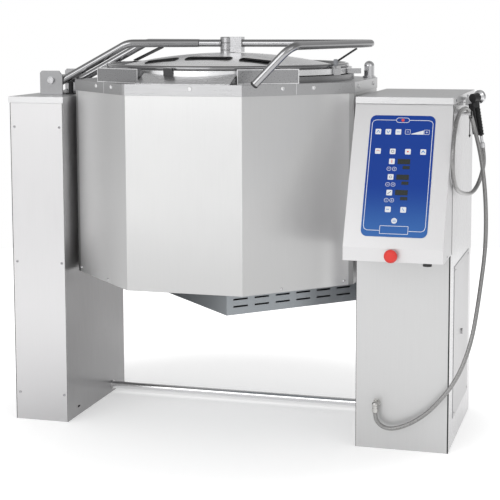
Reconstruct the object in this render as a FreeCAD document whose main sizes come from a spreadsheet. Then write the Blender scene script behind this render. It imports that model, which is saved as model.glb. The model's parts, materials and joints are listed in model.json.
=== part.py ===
import FreeCAD, Part

import math
import os

import Sketcher
from FreeCAD import Placement, Rotation, Vector

# A tilting steam jacketed kettle with a bottom-driven stirrer, standing between two columns.
# The frame: X to the right, Y to the back, Z up. The origin is on the floor under the bowl's axis.

DRIVING = {
    # Octagonal casing of the vessel
    "casing_clearance": 46,
    "casing_face_half": 183,
    "casing_sheet": 2,
    "casing_bottom": 493,
    "band_height": 34,
    "casing_height": 626,
    # Bowl, steam jacket and rim
    "bowl_radius": 380,
    "bowl_wall": 3,
    "bowl_centre_drop": 162,
    "rim_rise": 18,
    "rim_overhang": 29,
    "rim_sheet": 2,
    "jacket_gap": 29,
    "jacket_wall": 3,
    "jacket_drop": 19,
    "heater_radius": 8,
    # Pouring lip and its guard plates
    "spout_half_width": 147,
    "spout_overhang": 3,
    "guard_inset": 20,
    "guard_angle": 28,
    "guard_inner": 58.5,
    "guard_outer": 129.5,
    "guard_height": 44,
    "guard_sheet": 2,
    # Safety valve on the deck
    "valve_inset": 24,
    "valve_y": 165,
    "valve_radius": 17,
    "valve_height": 55,
    # Box under the casing that holds the stirrer drive, turned by 45 degrees
    "drive_box_height": 71,
    "drive_box_front": 374,
    "drive_box_back": 240,
    "drive_box_left": 207,
    "drive_box_right": 262,
    "louvre_length": 50,
    "louvre_width": 5,
    "louvre_pitch": 74,
    "louvre_margin": 23,
    "louvre_row_pitch": 22,
    # Stirrer and its drive
    "shaft_radius": 20,
    "shaft_stub": 55,
    "shaft_tube_radius": 30,
    "shaft_tube_length": 55,
    "shaft_tube_rise": 13,
    "seal_height": 8,
    "gearbox_radius": 70,
    "gearbox_height": 85,
    "drive_motor_radius": 34,
    "drive_motor_length": 250,
    "anchor_clearance": 24,
    "anchor_bar": 16,
    "anchor_depth": 30,
    "anchor_drop": 92,
    "anchor_bridge_drop": 157,
    "scraper_clearance": 4,
    # Columns
    "column_depth": 508,
    "column_sheet": 1.5,
    "left_gap": 15,
    "left_width": 183,
    "left_drop": 55,
    "right_gap": 22,
    "right_width": 285,
    "right_drop": 42.5,
    "cover_sheet": 2,
    "cover_lip": 20,
    "cover_overhang": 4,
    "base_plate": 8,
    "anchor_hole_radius": 6.5,
    "anchor_hole_inset": 35,
    # Trunnions, bearings and tilting gear
    "tilt_drop": 159,
    "trunnion_radius": 35,
    "trunnion_flange": 80,
    "trunnion_flange_thickness": 6,
    "trunnion_boss": 60,
    "trunnion_reach": 130,
    "bearing_plate": 12,
    "bearing_side": 150,
    "bearing_boss_radius": 52,
    "bearing_boss_length": 30,
    "tilt_gear_width": 110,
    "tilt_gear_side": 180,
    "tilt_motor_radius": 60,
    "tilt_motor_length": 210,
    # Tie tube between the columns
    "tie_radius": 13,
    "tie_flange_radius": 16,
    "tie_flange_thickness": 5,
    "tie_y": 134,
    "tie_height": 26,
    # Control console on the right column
    "console_height": 466,
    "console_lip": 40,
    "console_reach": 181.5,
    "console_sheet": 2,
    "panel_width": 194,
    "panel_length": 373,
    "panel_top_margin": 38,
    "panel_corner": 9,
    "panel_sheet": 1.5,
    "stop_inset": 140,
    "stop_radius": 19.5,
    "stop_travel": 5,
    "gland_inset": 43,
    "gland_radius": 13,
    # Inspection panel on the right side
    "hatch_front": 160,
    "hatch_back": 190,
    "hatch_bottom": 83,
    "hatch_top": 558,
    # Control unit and inlets at the right column's back
    "unit_inset": 60,
    "unit_side_gap": 40,
    "unit_depth": 130,
    "unit_bottom": 480,
    "unit_height": 340,
    "inlet_height": 150,
    "inlet_inset": 90,
    "inlet_radius": 10.5,
    "inlet_length": 24,
    "mains_inset": 160,
    # Lid hinge on the left column
    "hinge_inset": 104,
    "hinge_rise": 47,
    "hinge_pin_radius": 8,
    "hinge_sleeve_radius": 16,
    "bracket_half_width": 40,
    "bracket_half_span": 105,
    "bracket_sheet": 5,
    "bracket_rise": 31,
    # Lid frame of bent tube
    "arm_radius": 13,
    "arm_spread": 85,
    "arm_bend_x": 315,
    "arm_join_x": 100,
    "frame_rise": 76.7,
    "tube_radius": 12,
    "handle_corner_reach": 29,
    "handle_front_x": 345,
    "handle_front_reach": 51,
    "handle_end_x": 238,
    "handle_drop": 109,
    # Lid
    "lid_inset": 7,
    "lid_skirt": 20,
    "lid_sheet": 1.5,
    "lid_ledge": 35,
    "dome_rise": 46,
    "dome_sphere": 1510,
    "slot_front": 228,
    "slot_back": 180,
    "slot_half": 72,
    "slot_bridge": 33,
    "slot_side_length": 100,
    "hub_radius": 24,
    "hub_flange": 42,
    "hub_height": 57,
    "hub_block_length": 28,
    "hub_block_half": 19,
    "ring_inset": 16,
    "ring_tube_radius": 7,
    "foot_width": 30,
    "knob_radius": 7,
    "knob_height": 20,
    # Hand shower
    "head_reach": 37.5,
    "head_y": 4,
    "head_drop": 12.5,
    "head_radius": 13.5,
    "rose_radius": 21,
    "grip_radius": 9.5,
    "grip_length": 86,
    "gun_turn": 33,
    "gun_lean": 9,
    "lever_width": 20,
    "lever_pin_radius": 2,
    "hook_y": 118,
    "hook_drop": 42.3,
    "rod_drop": 61.7,
    "tap_inset": 66,
    "tap_reach": 27,
    "tap_height": 145,
    "hose_radius": 7,
    # Clearances
    "running": 0.05,
    "seat_gap": 0.3,
}

document = FreeCAD.newDocument("steam_jacketed_kettle")
sheet = document.addObject("Spreadsheet::Sheet", "Sizes")


class Size(float):
    """A number that remembers the spreadsheet formula it comes from."""

    def __new__(cls, value, formula):
        number = float.__new__(cls, value)
        number.formula = formula
        return number

    def __add__(self, other):
        return Size(float(self) + float(other), f"({self.formula} + {formula(other)})")

    def __sub__(self, other):
        return Size(float(self) - float(other), f"({self.formula} - {formula(other)})")

    def __mul__(self, other):
        return Size(float(self) * float(other), f"({self.formula} * {formula(other)})")

    def __truediv__(self, other):
        return Size(float(self) / float(other), f"({self.formula} / {formula(other)})")

    def __neg__(self):
        return Size(-float(self), f"(0 - {self.formula})")

    def __radd__(self, other):
        return Size(float(other) + float(self), f"({formula(other)} + {self.formula})")

    def __rsub__(self, other):
        return Size(float(other) - float(self), f"({formula(other)} - {self.formula})")

    def __rmul__(self, other):
        return Size(float(other) * float(self), f"({formula(other)} * {self.formula})")


def formula(number):
    """The spreadsheet formula of a size, or the digits of a plain number."""
    return number.formula if isinstance(number, Size) else repr(float(number))


def root(number):
    """Square root of a size."""
    return Size(math.sqrt(number), f"sqrt({formula(number)})")


class Sizes:
    """The driving dimensions by name, each one tied to its spreadsheet cell."""

    def __init__(self, numbers):
        for row, (name, number) in enumerate(numbers.items(), start=1):
            sheet.set(f"A{row}", name)
            sheet.set(f"B{row}", str(number))
            sheet.setAlias(f"B{row}", name)
            setattr(self, name, Size(number, f"Sizes.{name}"))


d = Sizes(DRIVING)
document.recompute()

DIAGONAL = math.sqrt(2) - 1
X, Y, Z = Vector(1, 0, 0), Vector(0, 1, 0), Vector(0, 0, 1)
sub_parts = []

# Faces and levels that several sub-parts share
bowl_outer = d.bowl_radius + d.bowl_wall
jacket_inner = bowl_outer + d.jacket_gap
jacket_outer = jacket_inner + d.jacket_wall
rim_radius = bowl_outer + d.rim_overhang
casing_half = jacket_outer + d.casing_clearance
left_inner = -(casing_half + d.left_gap)
left_outer = left_inner - d.left_width
right_inner = casing_half + d.right_gap
right_outer = right_inner + d.right_width
column_front = -(d.column_depth / 2)
column_back = d.column_depth / 2
deck_height = d.casing_bottom + d.casing_height
rim_top = deck_height + d.rim_rise
left_height = deck_height - d.left_drop
left_top = left_height + d.cover_sheet
right_height = deck_height - d.right_drop
right_top = right_height + d.cover_sheet
tilt_height = deck_height - d.tilt_drop
bowl_centre = deck_height - d.bowl_centre_drop
jacket_top = deck_height - d.jacket_drop
shaft_tube_top = bowl_centre - d.bowl_radius + d.shaft_tube_rise
shaft_tube_foot = shaft_tube_top - d.shaft_tube_length
shaft_foot = shaft_tube_foot - d.shaft_stub
anchor_top = rim_top - d.anchor_drop
anchor_bridge = bowl_centre - d.anchor_bridge_drop
lid_radius = rim_radius - d.lid_inset
dome_base_radius = lid_radius - d.lid_ledge
ring_radius = lid_radius - d.ring_inset
lid_edge_bottom = rim_top + d.seat_gap
lid_edge_top = lid_edge_bottom + d.lid_skirt
frame_height = lid_edge_top + d.frame_rise
handle_corner_x = casing_half + d.handle_corner_reach
handle_front_y = casing_half + d.handle_front_reach
hinge_x = d.hinge_inset - left_inner
hinge_height = left_top + d.hinge_rise
console_bottom = right_top - d.console_height
console_front = column_front - d.console_reach
console_slope_foot = console_bottom + d.console_lip
console_slope_top = right_top - d.cover_lip
drive_box_bottom = d.casing_bottom - d.drive_box_height
head_height = right_top - d.head_drop
hook_height = head_height - d.hook_drop
tap_x = right_inner + d.tap_inset
tap_y = column_front - d.tap_reach


def tie(thing, name, number):
    """Ties a property to the spreadsheet."""
    thing.setExpression(name, formula(number))


def put(thing, corner):
    """Ties the place of a thing to the spreadsheet."""
    for axis, number in zip("xyz", corner):
        tie(thing, f"Placement.Base.{axis}", number)


def block(name, low, high):
    """A box between two corners."""
    thing = document.addObject("Part::Box", name)
    for side, start, end in zip(("Length", "Width", "Height"), low, high):
        tie(thing, side, end - start)
    put(thing, low)
    return thing


def rod(name, radius, foot, length, axis=Z):
    """A cylinder that stands on its foot and points along an axis."""
    thing = document.addObject("Part::Cylinder", name)
    tie(thing, "Radius", radius)
    tie(thing, "Height", length)
    thing.Placement = Placement(Vector(), Rotation(Z, axis))
    put(thing, foot)
    return thing


def cut(name, base, *tools):
    """The base less its tools."""
    thing = document.addObject("Part::Cut", name)
    thing.Base = base
    thing.Tool = tools[0] if len(tools) == 1 else join(name + "_tools", *tools)
    return thing


def join(name, *pieces):
    """Several shapes as one solid, or as one group where they do not touch."""
    thing = document.addObject("Part::MultiFuse", name)
    thing.Shapes = list(pieces)
    return thing


def free_shape(name, shape):
    """A shape that Part's own functions made."""
    thing = document.addObject("Part::Feature", name)
    thing.Shape = shape
    return thing


def sub_part(label, thing):
    """Marks an object as a finished sub-part and names it."""
    thing.Label = label
    sub_parts.append(thing)
    return thing


def add_edge(sketch, start, end, radius, turns_left):
    """Adds one line or arc to a sketch. Gives its number and which of its ends comes first."""
    a, b = Vector(start[0], start[1], 0), Vector(end[0], end[1], 0)
    if radius is None:
        return sketch.addGeometry(Part.LineSegment(a, b)), 1, 2
    chord = b - a
    sagitta_side = Vector(-chord.y, chord.x, 0).normalize() * (1 if turns_left else -1)
    offset = math.sqrt(max(float(radius) ** 2 - (chord.Length / 2) ** 2, 0))
    centre = (a + b) * 0.5 + sagitta_side * offset
    first, last = (a, b) if turns_left else (b, a)
    angles = [math.atan2(p.y - centre.y, p.x - centre.x) for p in (first, last)]
    circle = Part.Circle(centre, Z, float(radius))
    number = sketch.addGeometry(Part.ArcOfCircle(circle, angles[0], angles[1]))
    return (number, 1, 2) if turns_left else (number, 2, 1)


def draw_loop(sketch, corners):
    """Draws a closed outline. A corner is (u, v), or (u, v, radius, turns_left) where an arc follows."""
    edges = []
    for here, after in zip(corners, corners[1:] + corners[:1]):
        radius, turns_left = here[2:] if len(here) == 4 else (None, True)
        edges.append((*add_edge(sketch, here, after, radius, turns_left), radius))
    for (number, _, last, _), (other, first, _, _) in zip(edges, edges[1:] + edges[:1]):
        sketch.addConstraint(Sketcher.Constraint("Coincident", number, last, other, first))
    for corner, (number, first, _, radius) in zip(corners, edges):
        for kind, value in zip(("DistanceX", "DistanceY"), corner[:2]):
            rule = Sketcher.Constraint(kind, -1, 1, number, first, float(value))
            index = sketch.addConstraint(rule)
            sketch.setExpression(f"Constraints[{index}]", formula(value))
        if radius is not None:
            index = sketch.addConstraint(Sketcher.Constraint("Radius", number, float(radius)))
            sketch.setExpression(f"Constraints[{index}]", formula(radius))


def sketch_on(body, plane, start, *loops):
    """A sketch with closed outlines on a plane of the body, moved along the plane's normal."""
    sketch = body.newObject("Sketcher::SketchObject", f"{body.Name}_sketch")
    face = next(item for item in body.Origin.OriginFeatures if item.Role == f"{plane}_Plane")
    sketch.AttachmentSupport = [(face, "")]
    sketch.MapMode = "FlatFace"
    tie(sketch, "AttachmentOffset.Base.z", -start if plane == "XZ" else start)
    for corners in loops:
        draw_loop(sketch, corners)
    return sketch


def pad_body(name, plane, start, length, *loops):
    """A body padded from a sketch: up from XY, towards the front from XZ, to the right from YZ."""
    body = document.addObject("PartDesign::Body", name)
    pad = body.newObject("PartDesign::Pad", f"{name}_pad")
    pad.Profile = sketch_on(body, plane, start, *loops)
    tie(pad, "Length", length)
    return body


def turned_body(name, *loops):
    """A body of revolution about Z, from outlines of (radius, height)."""
    body = document.addObject("PartDesign::Body", name)
    sketch = sketch_on(body, "XZ", 0.0, *loops)
    turn = body.newObject("PartDesign::Revolution", f"{name}_turn")
    turn.Profile = sketch
    turn.ReferenceAxis = (sketch, ["V_Axis"])
    turn.Angle = 360
    return body


def rectangle(u0, v0, u1, v1):
    """The corners of a rectangle."""
    return [(u0, v0), (u1, v0), (u1, v1), (u0, v1)]


def rounded_rectangle(u0, v0, u1, v1, r):
    """The corners of a rectangle with round corners."""
    return [
        (u0 + r, v0), (u1 - r, v0, r, True), (u1, v0 + r), (u1, v1 - r, r, True),
        (u1 - r, v1), (u0 + r, v1, r, True), (u0, v1 - r), (u0, v0 + r, r, True),
    ]


def circle_loop(u, v, r):
    """A circle as four arcs, so that its centre and radius are tied."""
    return [(u + r, v, r, True), (u, v + r, r, True), (u - r, v, r, True), (u, v - r, r, True)]


def octagon(inset=0.0):
    """The outline of the vessel's casing, moved inwards by an inset."""
    a = casing_half - inset
    b = d.casing_face_half - inset * DIAGONAL
    return [(a, -b), (a, b), (b, a), (-b, a), (-a, b), (-a, -b), (-b, -a), (b, -a)]


def tube(points, radius, bends):
    """A round bar along straight runs joined by arcs, with one bend radius for each inner point."""
    edges = []
    here = points[0]
    for before, corner, after, bend in zip(points, points[1:], points[2:], bends):
        incoming = (corner - before).normalize()
        outgoing = (after - corner).normalize()
        half_turn = incoming.getAngle(outgoing) / 2
        setback = bend * math.tan(half_turn)
        start, end = corner - incoming * setback, corner + outgoing * setback
        inward = (outgoing - incoming).normalize()
        middle = corner + inward * (bend / math.cos(half_turn) - bend)
        edges.append(Part.LineSegment(here, start).toShape())
        edges.append(Part.Arc(start, middle, end).toShape())
        here = end
    edges.append(Part.LineSegment(here, points[-1]).toShape())
    spine = Part.Wire(edges)
    ring = Part.Wire([Part.makeCircle(radius, points[0], points[1] - points[0])])
    return Part.Wire(spine).makePipeShell([ring], True, True), spine.Length


def bar_between(start, end, width, thickness, side):
    """A flat bar between two points, with its width along a side direction."""
    along = end - start
    frame = Placement(start, Rotation(side, Vector(), along, "ZXY"))
    bar = Part.makeBox(width, thickness, along.Length, Vector(-width / 2, -thickness / 2, 0))
    bar.Placement = frame
    return bar


def hollow_column(name, x0, x1, height):
    """Folded sheet walls of a column, behind its front panel."""
    wall = d.column_sheet
    front = column_front + wall
    outside = rectangle(x0, front, x1, column_back)
    inside = rectangle(x0 + wall, front + wall, x1 - wall, column_back - wall)
    return pad_body(name, "XY", 0.0, height, outside, inside)


def cover(name, x0, x1, height):
    """A flat cover with a lip turned down around a column's top."""
    over, lip = d.cover_overhang, d.cover_lip
    low = (x0 - over, column_front - over, height + d.cover_sheet - lip)
    high = (x1 + over, column_back + over, height + d.cover_sheet)
    outside = block(f"{name}_outside", low, high)
    wall = d.column_sheet
    inner_low = (x0 - over + wall, column_front - over + wall, low[2])
    inner_high = (x1 + over - wall, column_back + over - wall, height)
    return cut(name, outside, block(f"{name}_inside", inner_low, inner_high))


def base_plate(name, x0, x1):
    """The foot plate inside a column, with four holes for floor anchors."""
    wall, inset = d.column_sheet, d.anchor_hole_inset
    low_x, high_x = x0 + wall, x1 - wall
    low_y, high_y = column_front + wall * 2, column_back - wall
    outline = rectangle(low_x, low_y, high_x, high_y)
    holes = [
        circle_loop(x, y, d.anchor_hole_radius)
        for x in (low_x + inset, high_x - inset)
        for y in (low_y + inset, high_y - inset)
    ]
    return pad_body(name, "XY", 0.0, d.base_plate, outline, *holes)


def bearing(name, wall_x, outward):
    """A flange bearing on the inside of a column wall. Outward is 1 or -1 along X, away from the vessel."""
    half = d.bearing_side / 2
    plate_end = wall_x + outward * d.bearing_plate
    low_x, high_x = (wall_x, plate_end) if outward > 0 else (plate_end, wall_x)
    plate = block(f"{name}_plate", (low_x, -half, tilt_height - half), (high_x, half, tilt_height + half))
    axis = X * outward
    boss_foot = (plate_end, 0.0, tilt_height)
    boss = rod(f"{name}_boss", d.bearing_boss_radius, boss_foot, d.bearing_boss_length, axis)
    length = d.bearing_plate + d.bearing_boss_length
    bore = rod(f"{name}_bore", d.trunnion_radius + d.running, (wall_x, 0.0, tilt_height), length, axis)
    return cut(name, join(f"{name}_body", plate, boss), bore)


def trunnion_hole(name, x, outward):
    """The tool that opens a column wall round a trunnion."""
    foot = (x - outward * 1.0, 0.0, tilt_height)
    return rod(name, d.trunnion_radius + d.bearing_plate, foot, d.column_sheet + 2, X * outward)


def make_left_column():
    """Left column: shell, front panel, cover, foot plate, bearing and tilting gear."""
    wall = d.column_sheet
    shell = hollow_column("left_shell_walls", left_outer, left_inner, left_height)
    hole = trunnion_hole("left_shell_hole", left_inner, -1)
    slot = block(
        "left_shell_slot", (left_inner - wall - 1, -172.0, 26.0), (left_inner + 1, -152.0, 32.0))
    sub_part("left_column_shell", cut("left_shell", shell, hole, slot))
    low = (left_outer, column_front, 0.0)
    high = (left_inner, column_front + wall, left_height)
    sub_part("left_front_panel", block("left_panel", low, high))
    sub_part("left_column_cover", cover("left_cover", left_outer, left_inner, left_height))
    sub_part("left_base_plate", base_plate("left_base", left_outer, left_inner))
    inner_wall = left_inner - wall
    sub_part("left_trunnion_bearing", bearing("left_bearing", inner_wall, -1))

    gear_x = inner_wall - d.bearing_plate - d.bearing_boss_length
    half = d.tilt_gear_side / 2
    case = block(
        "tilt_gear_case", (gear_x - d.tilt_gear_width, -half, tilt_height - half),
        (gear_x, half, tilt_height + half))
    bore_end = left_inner - d.trunnion_reach - d.seat_gap
    bore = rod("tilt_gear_bore", d.trunnion_radius + d.running, (gear_x, 0.0, tilt_height),
               gear_x - bore_end, -X)
    gear = cut("tilt_gear", case, bore)
    motor_x = gear_x - d.tilt_gear_width / 2
    motor_top = tilt_height - half
    r = d.tilt_motor_radius
    bell = r * 0.9
    body = turned_body("tilt_motor_turned", [
        (0.0, motor_top), (0.0, motor_top - d.tilt_motor_length), (bell, motor_top - d.tilt_motor_length),
        (r, motor_top - d.tilt_motor_length + r / 4), (r, motor_top - r / 2),
        (bell, motor_top - r / 2), (bell, motor_top)])
    tie(body, "Placement.Base.x", motor_x)
    sub_part("tilt_gearmotor", join("tilt_drive", gear, body))


def make_right_column():
    """Right column: shell, front panel, side hatch, foot plate, bearing, control unit and inlets."""
    wall = d.column_sheet
    shell = hollow_column("right_shell_walls", right_inner, right_outer, right_height)
    hole = trunnion_hole("right_shell_hole", right_inner, 1)
    sub_part("right_column_shell", cut("right_shell", shell, hole))
    low = (right_inner, column_front, 0.0)
    high = (right_outer - wall, column_front + wall, console_bottom)
    sub_part("right_front_panel", block("right_panel", low, high))
    hatch_low = (right_outer, -d.hatch_front, d.hatch_bottom)
    hatch_high = (right_outer + wall, d.hatch_back, d.hatch_top)
    hatch = block("hatch", hatch_low, hatch_high)
    lock_y = (d.hatch_back - d.hatch_front) / 2
    lock_height = (d.hatch_bottom + d.hatch_top) / 2
    lock = rod("hatch_lock_barrel", 9.0, (right_outer + wall, lock_y, lock_height), 5.0, X)
    sub_part("inspection_hatch", join("hatch_with_lock", hatch, lock))
    sub_part("right_base_plate", base_plate("right_base", right_inner, right_outer))
    sub_part("right_trunnion_bearing", bearing("right_bearing", right_inner + wall, 1))
    unit_back = column_back - wall
    unit_low = (right_inner + d.unit_inset, unit_back - d.unit_depth, d.unit_bottom)
    unit_high = (right_outer - d.unit_side_gap, unit_back, d.unit_bottom + d.unit_height)
    sub_part("control_unit", block("control_unit_case", unit_low, unit_high))
    inlet_x, inlet_z, nut_length = right_inner + d.inlet_inset, d.inlet_height, 6.0
    stub_foot = (inlet_x, column_back + nut_length, inlet_z)
    stub = rod("inlet_thread", d.inlet_radius, stub_foot, d.inlet_length, Y)
    nut = rod("inlet_nut", d.inlet_radius + 6.5, (inlet_x, column_back, inlet_z), nut_length, Y)
    bore_foot = (inlet_x, column_back + 2, inlet_z)
    bore = rod("inlet_bore", d.inlet_radius - 3, bore_foot, d.inlet_length + nut_length, Y)
    inlet = cut("inlet", join("inlet_body", stub, nut), bore)
    gland_x = right_inner + d.mains_inset
    gland_nut = rod("mains_gland_nut", 18.0, (gland_x, column_back, inlet_z), 10.0, Y)
    gland_cap = rod("mains_gland_cap", 14.0, (gland_x, column_back + 10, inlet_z), 14.0, Y)
    gland_bore = rod("mains_gland_bore", 7.0, (gland_x, column_back + 4, inlet_z), 22.0, Y)
    gland = cut("gland", join("gland_body", gland_nut, gland_cap), gland_bore)
    sub_part("supply_connections", join("supply", inlet, gland))


def make_tie_tube():
    """The tube that ties both columns near the floor, with its end flanges."""
    foot = (left_inner, d.tie_y, d.tie_height)
    bar = rod("tie_bar", d.tie_radius, foot, right_inner - left_inner, X)
    left = rod("tie_left", d.tie_flange_radius, foot, d.tie_flange_thickness, X)
    right_foot = (right_inner - d.tie_flange_thickness, d.tie_y, d.tie_height)
    right = rod("tie_right", d.tie_flange_radius, right_foot, d.tie_flange_thickness, X)
    sub_part("tie_tube", join("tie", bar, left, right))


def console_profile(inset):
    """Side view of the console as (y, z), moved inwards by an inset except at the column."""
    slope = math.atan2(console_slope_top - console_slope_foot, d.console_reach)
    shift = inset * (1 / math.sin(slope)) if inset else 0.0
    knee = inset * math.tan(slope / 2) if inset else 0.0
    return [
        (column_front, console_bottom + inset),
        (console_front + inset, console_bottom + inset),
        (console_front + inset, console_slope_foot - knee),
        (column_front, console_slope_top - shift * math.tan(slope)),
    ]


def slope_frame():
    """The middle of the console's slope at its top edge, with x to the right and z out of the slope."""
    slope = math.degrees(math.atan2(console_slope_top - console_slope_foot, d.console_reach))
    middle = (right_inner + right_outer) / 2
    return Placement(Vector(middle, column_front, console_slope_top), Rotation(X, slope))


def make_console():
    """Control console: housing, lid, membrane panel, emergency stop and cable gland."""
    over, sheet_wall = d.cover_overhang, d.console_sheet
    width = right_outer - right_inner + over * 2
    outside = pad_body("console_outside", "YZ", right_inner - over, width, console_profile(0.0))
    inside = pad_body("console_inside", "YZ", right_inner - over + sheet_wall,
                      width - sheet_wall * 2, console_profile(sheet_wall))
    stop_x = right_inner + d.stop_inset
    stop_height = console_bottom + d.console_lip / 2
    stem = d.stop_radius / 2
    stop_hole = rod("stop_hole", stem + d.running, (stop_x, console_front - 1, stop_height), 6.0, Y)
    sub_part("console_housing", cut("console", outside, inside, stop_hole))
    sub_part("console_lid", cover("right_cover", right_inner, right_outer, right_height))

    half = d.panel_width / 2
    top, bottom = -d.panel_top_margin, -d.panel_top_margin - d.panel_length
    outline = rounded_rectangle(-half, bottom, half, top, d.panel_corner)
    panel = pad_body("panel", "XY", 0.0, d.panel_sheet, outline)
    panel.Placement = slope_frame()
    sub_part("membrane_panel", panel)

    front = console_front
    collar = rod("collar_ring", d.stop_radius * 0.8, (stop_x, front, stop_height), 6.0, -Y)
    collar_bore = rod("collar_bore", stem + d.running, (stop_x, front + 1, stop_height), 8.0, -Y)
    sub_part("stop_collar", cut("collar", collar, collar_bore))
    head_back = d.stop_travel + 7.5
    r = d.stop_radius
    mushroom = turned_body("stop_turned", [
        (0.0, -20.0), (stem, -20.0), (stem, head_back), (r * 0.86, head_back), (r, head_back + 3),
        (r, head_back + 6, r, True), (r * 0.7, head_back + 12), (0.0, head_back + 13)])
    mushroom.Placement = Placement(Vector(), Rotation(Z, -Y))
    put(mushroom, (stop_x, front, stop_height))
    sub_part("stop_button", mushroom)
    gland_y = front + d.gland_radius
    gland_foot = (right_outer - d.gland_inset, gland_y, console_bottom)
    nut = rod("console_gland_nut", d.gland_radius, gland_foot, 9.0, -Z)
    sub_part("console_gland", nut)


def make_lid_hinge():
    """Hinge bracket on the left column's cover, its pin and the rubber stops."""
    x0, x1 = -(hinge_x + d.bracket_half_width), -(hinge_x - d.bracket_half_width)
    top = hinge_height + d.bracket_rise
    span = d.bracket_half_span
    hole = circle_loop(-hinge_x, hinge_height, d.hinge_pin_radius)
    ears = pad_body("bracket_ears", "XZ", span, span * 2, [
        (x0, left_top), (x1, left_top), (x1, top - 15), (x1 - 13, top), (x0 + 7, top), (x0, top - 7)], hole)
    inner = span - d.bracket_sheet
    gap = block("bracket_gap", (x0 - 1, -inner, left_top + d.bracket_sheet), (x1 + 1, inner, top + 1))
    sub_part("lid_hinge_bracket", cut("bracket", ears, gap))

    pin = rod("pin_shank", d.hinge_pin_radius, (-hinge_x, -span, hinge_height), span * 2, Y)
    front_head = rod("pin_front_head", d.hinge_pin_radius + 3, (-hinge_x, -span, hinge_height), 7.0, -Y)
    back_head = rod("pin_back_head", d.hinge_pin_radius + 3, (-hinge_x, span, hinge_height), 7.0, Y)
    sub_part("lid_hinge_pin", join("pin", pin, front_head, back_head))

    slope = arm_slope()
    stop_x = x1 + 22
    arm_above = arm_start().z + (stop_x - arm_start().x) * math.tan(slope)
    stop_top = arm_above - d.arm_radius / math.cos(slope) - 5
    stops = []
    for side, spread in (("front", -d.arm_spread), ("back", d.arm_spread)):
        foot = block(f"{side}_stop_plate", (stop_x - 14, spread - 12, left_top),
                     (stop_x + 14, spread + 12, left_top + 4))
        post = rod(f"{side}_stop_post", 8.0, (stop_x, spread, left_top + 4), stop_top - left_top - 4)
        stops += [foot, post]
    sub_part("lid_stops", join("stops", *stops))


def vessel_panel_hole(name, side):
    """The tool that opens the casing round a trunnion boss. Side is 1 or -1."""
    foot = (side * (casing_half - 40), 0.0, tilt_height)
    return rod(name, d.trunnion_boss + d.seat_gap, foot, 50.0, X * side)


def make_casing():
    """Casing of the vessel: octagonal shell, floor, and top deck with its band."""
    outer = d.casing_sheet
    shell = pad_body("casing_walls", "XY", d.casing_bottom,
                     deck_height - d.casing_sheet - d.casing_bottom,
                     octagon(outer), octagon(outer + d.casing_sheet))
    holes = [vessel_panel_hole(f"casing_hole_{side}", side) for side in (1, -1)]
    sub_part("casing_shell", cut("casing", shell, *holes))
    floor = pad_body("floor_plate", "XY", d.casing_bottom, d.casing_sheet,
                     octagon(outer + d.casing_sheet), circle_loop(0.0, 0.0, d.gearbox_radius + 30))
    sub_part("casing_floor", floor)
    deck = pad_body("deck_top", "XY", deck_height - d.casing_sheet, d.casing_sheet,
                    octagon(), circle_loop(0.0, 0.0, rim_radius - 12))
    band = pad_body("deck_band", "XY", deck_height - d.band_height,
                    d.band_height - d.casing_sheet, octagon(), octagon(outer))
    sub_part("rim_deck", join("deck", deck, band))


def make_bowl():
    """Bowl, its wall with the rolled rim, steam jacket, heaters and the tube round the stirrer shaft."""
    r, wall, centre = d.bowl_radius, d.bowl_wall, bowl_centre
    outer = r + wall
    hole = d.shaft_tube_radius + d.seat_gap
    inner_foot = centre - root(r * r - hole * hole)
    outer_foot = centre - root(outer * outer - hole * hole)
    rim_sheet = d.rim_sheet
    rim_edge = deck_height
    sub_part("bowl", turned_body("bowl_turned", [
        (hole, inner_foot, r, True), (r, centre), (outer, centre, outer, False), (hole, outer_foot)]))
    sub_part("bowl_wall", turned_body("bowl_wall_turned", [
        (r, centre), (r, rim_top), (rim_radius, rim_top), (rim_radius, rim_edge),
        (rim_radius - rim_sheet, rim_edge), (rim_radius - rim_sheet, rim_top - rim_sheet),
        (outer, rim_top - rim_sheet), (outer, centre)]))

    inner_low = centre - root(jacket_inner * jacket_inner - hole * hole)
    outer_low = centre - root(jacket_outer * jacket_outer - hole * hole)
    seat = bowl_outer + d.seat_gap
    sub_part("steam_jacket", turned_body("jacket_turned", [
        (hole, outer_low, jacket_outer, True), (jacket_outer, centre), (jacket_outer, jacket_top),
        (seat, jacket_top), (seat, jacket_top - d.jacket_wall),
        (jacket_inner, jacket_top - d.jacket_wall), (jacket_inner, centre, jacket_inner, False),
        (hole, inner_low)]))

    heaters = []
    reach = jacket_inner - d.heater_radius - d.seat_gap
    for number, angle in enumerate((25, 40, 55)):
        ring = document.addObject("Part::Torus", f"heater_{number}")
        tie(ring, "Radius1", reach * math.sin(math.radians(angle)))
        tie(ring, "Radius2", d.heater_radius)
        put(ring, (0.0, 0.0, centre - reach * math.cos(math.radians(angle))))
        heaters.append(ring)
    sub_part("heating_elements", join("heaters", *heaters))

    bore = d.shaft_radius + d.running
    seal_top = shaft_tube_top + d.seal_height
    sub_part("shaft_tube", turned_body("shaft_tube_turned", [
        (bore, shaft_tube_foot), (d.shaft_tube_radius, shaft_tube_foot),
        (d.shaft_tube_radius, shaft_tube_top), (d.shaft_tube_radius + 4, shaft_tube_top),
        (d.shaft_tube_radius + 4, seal_top), (bore, seal_top)]))


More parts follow.
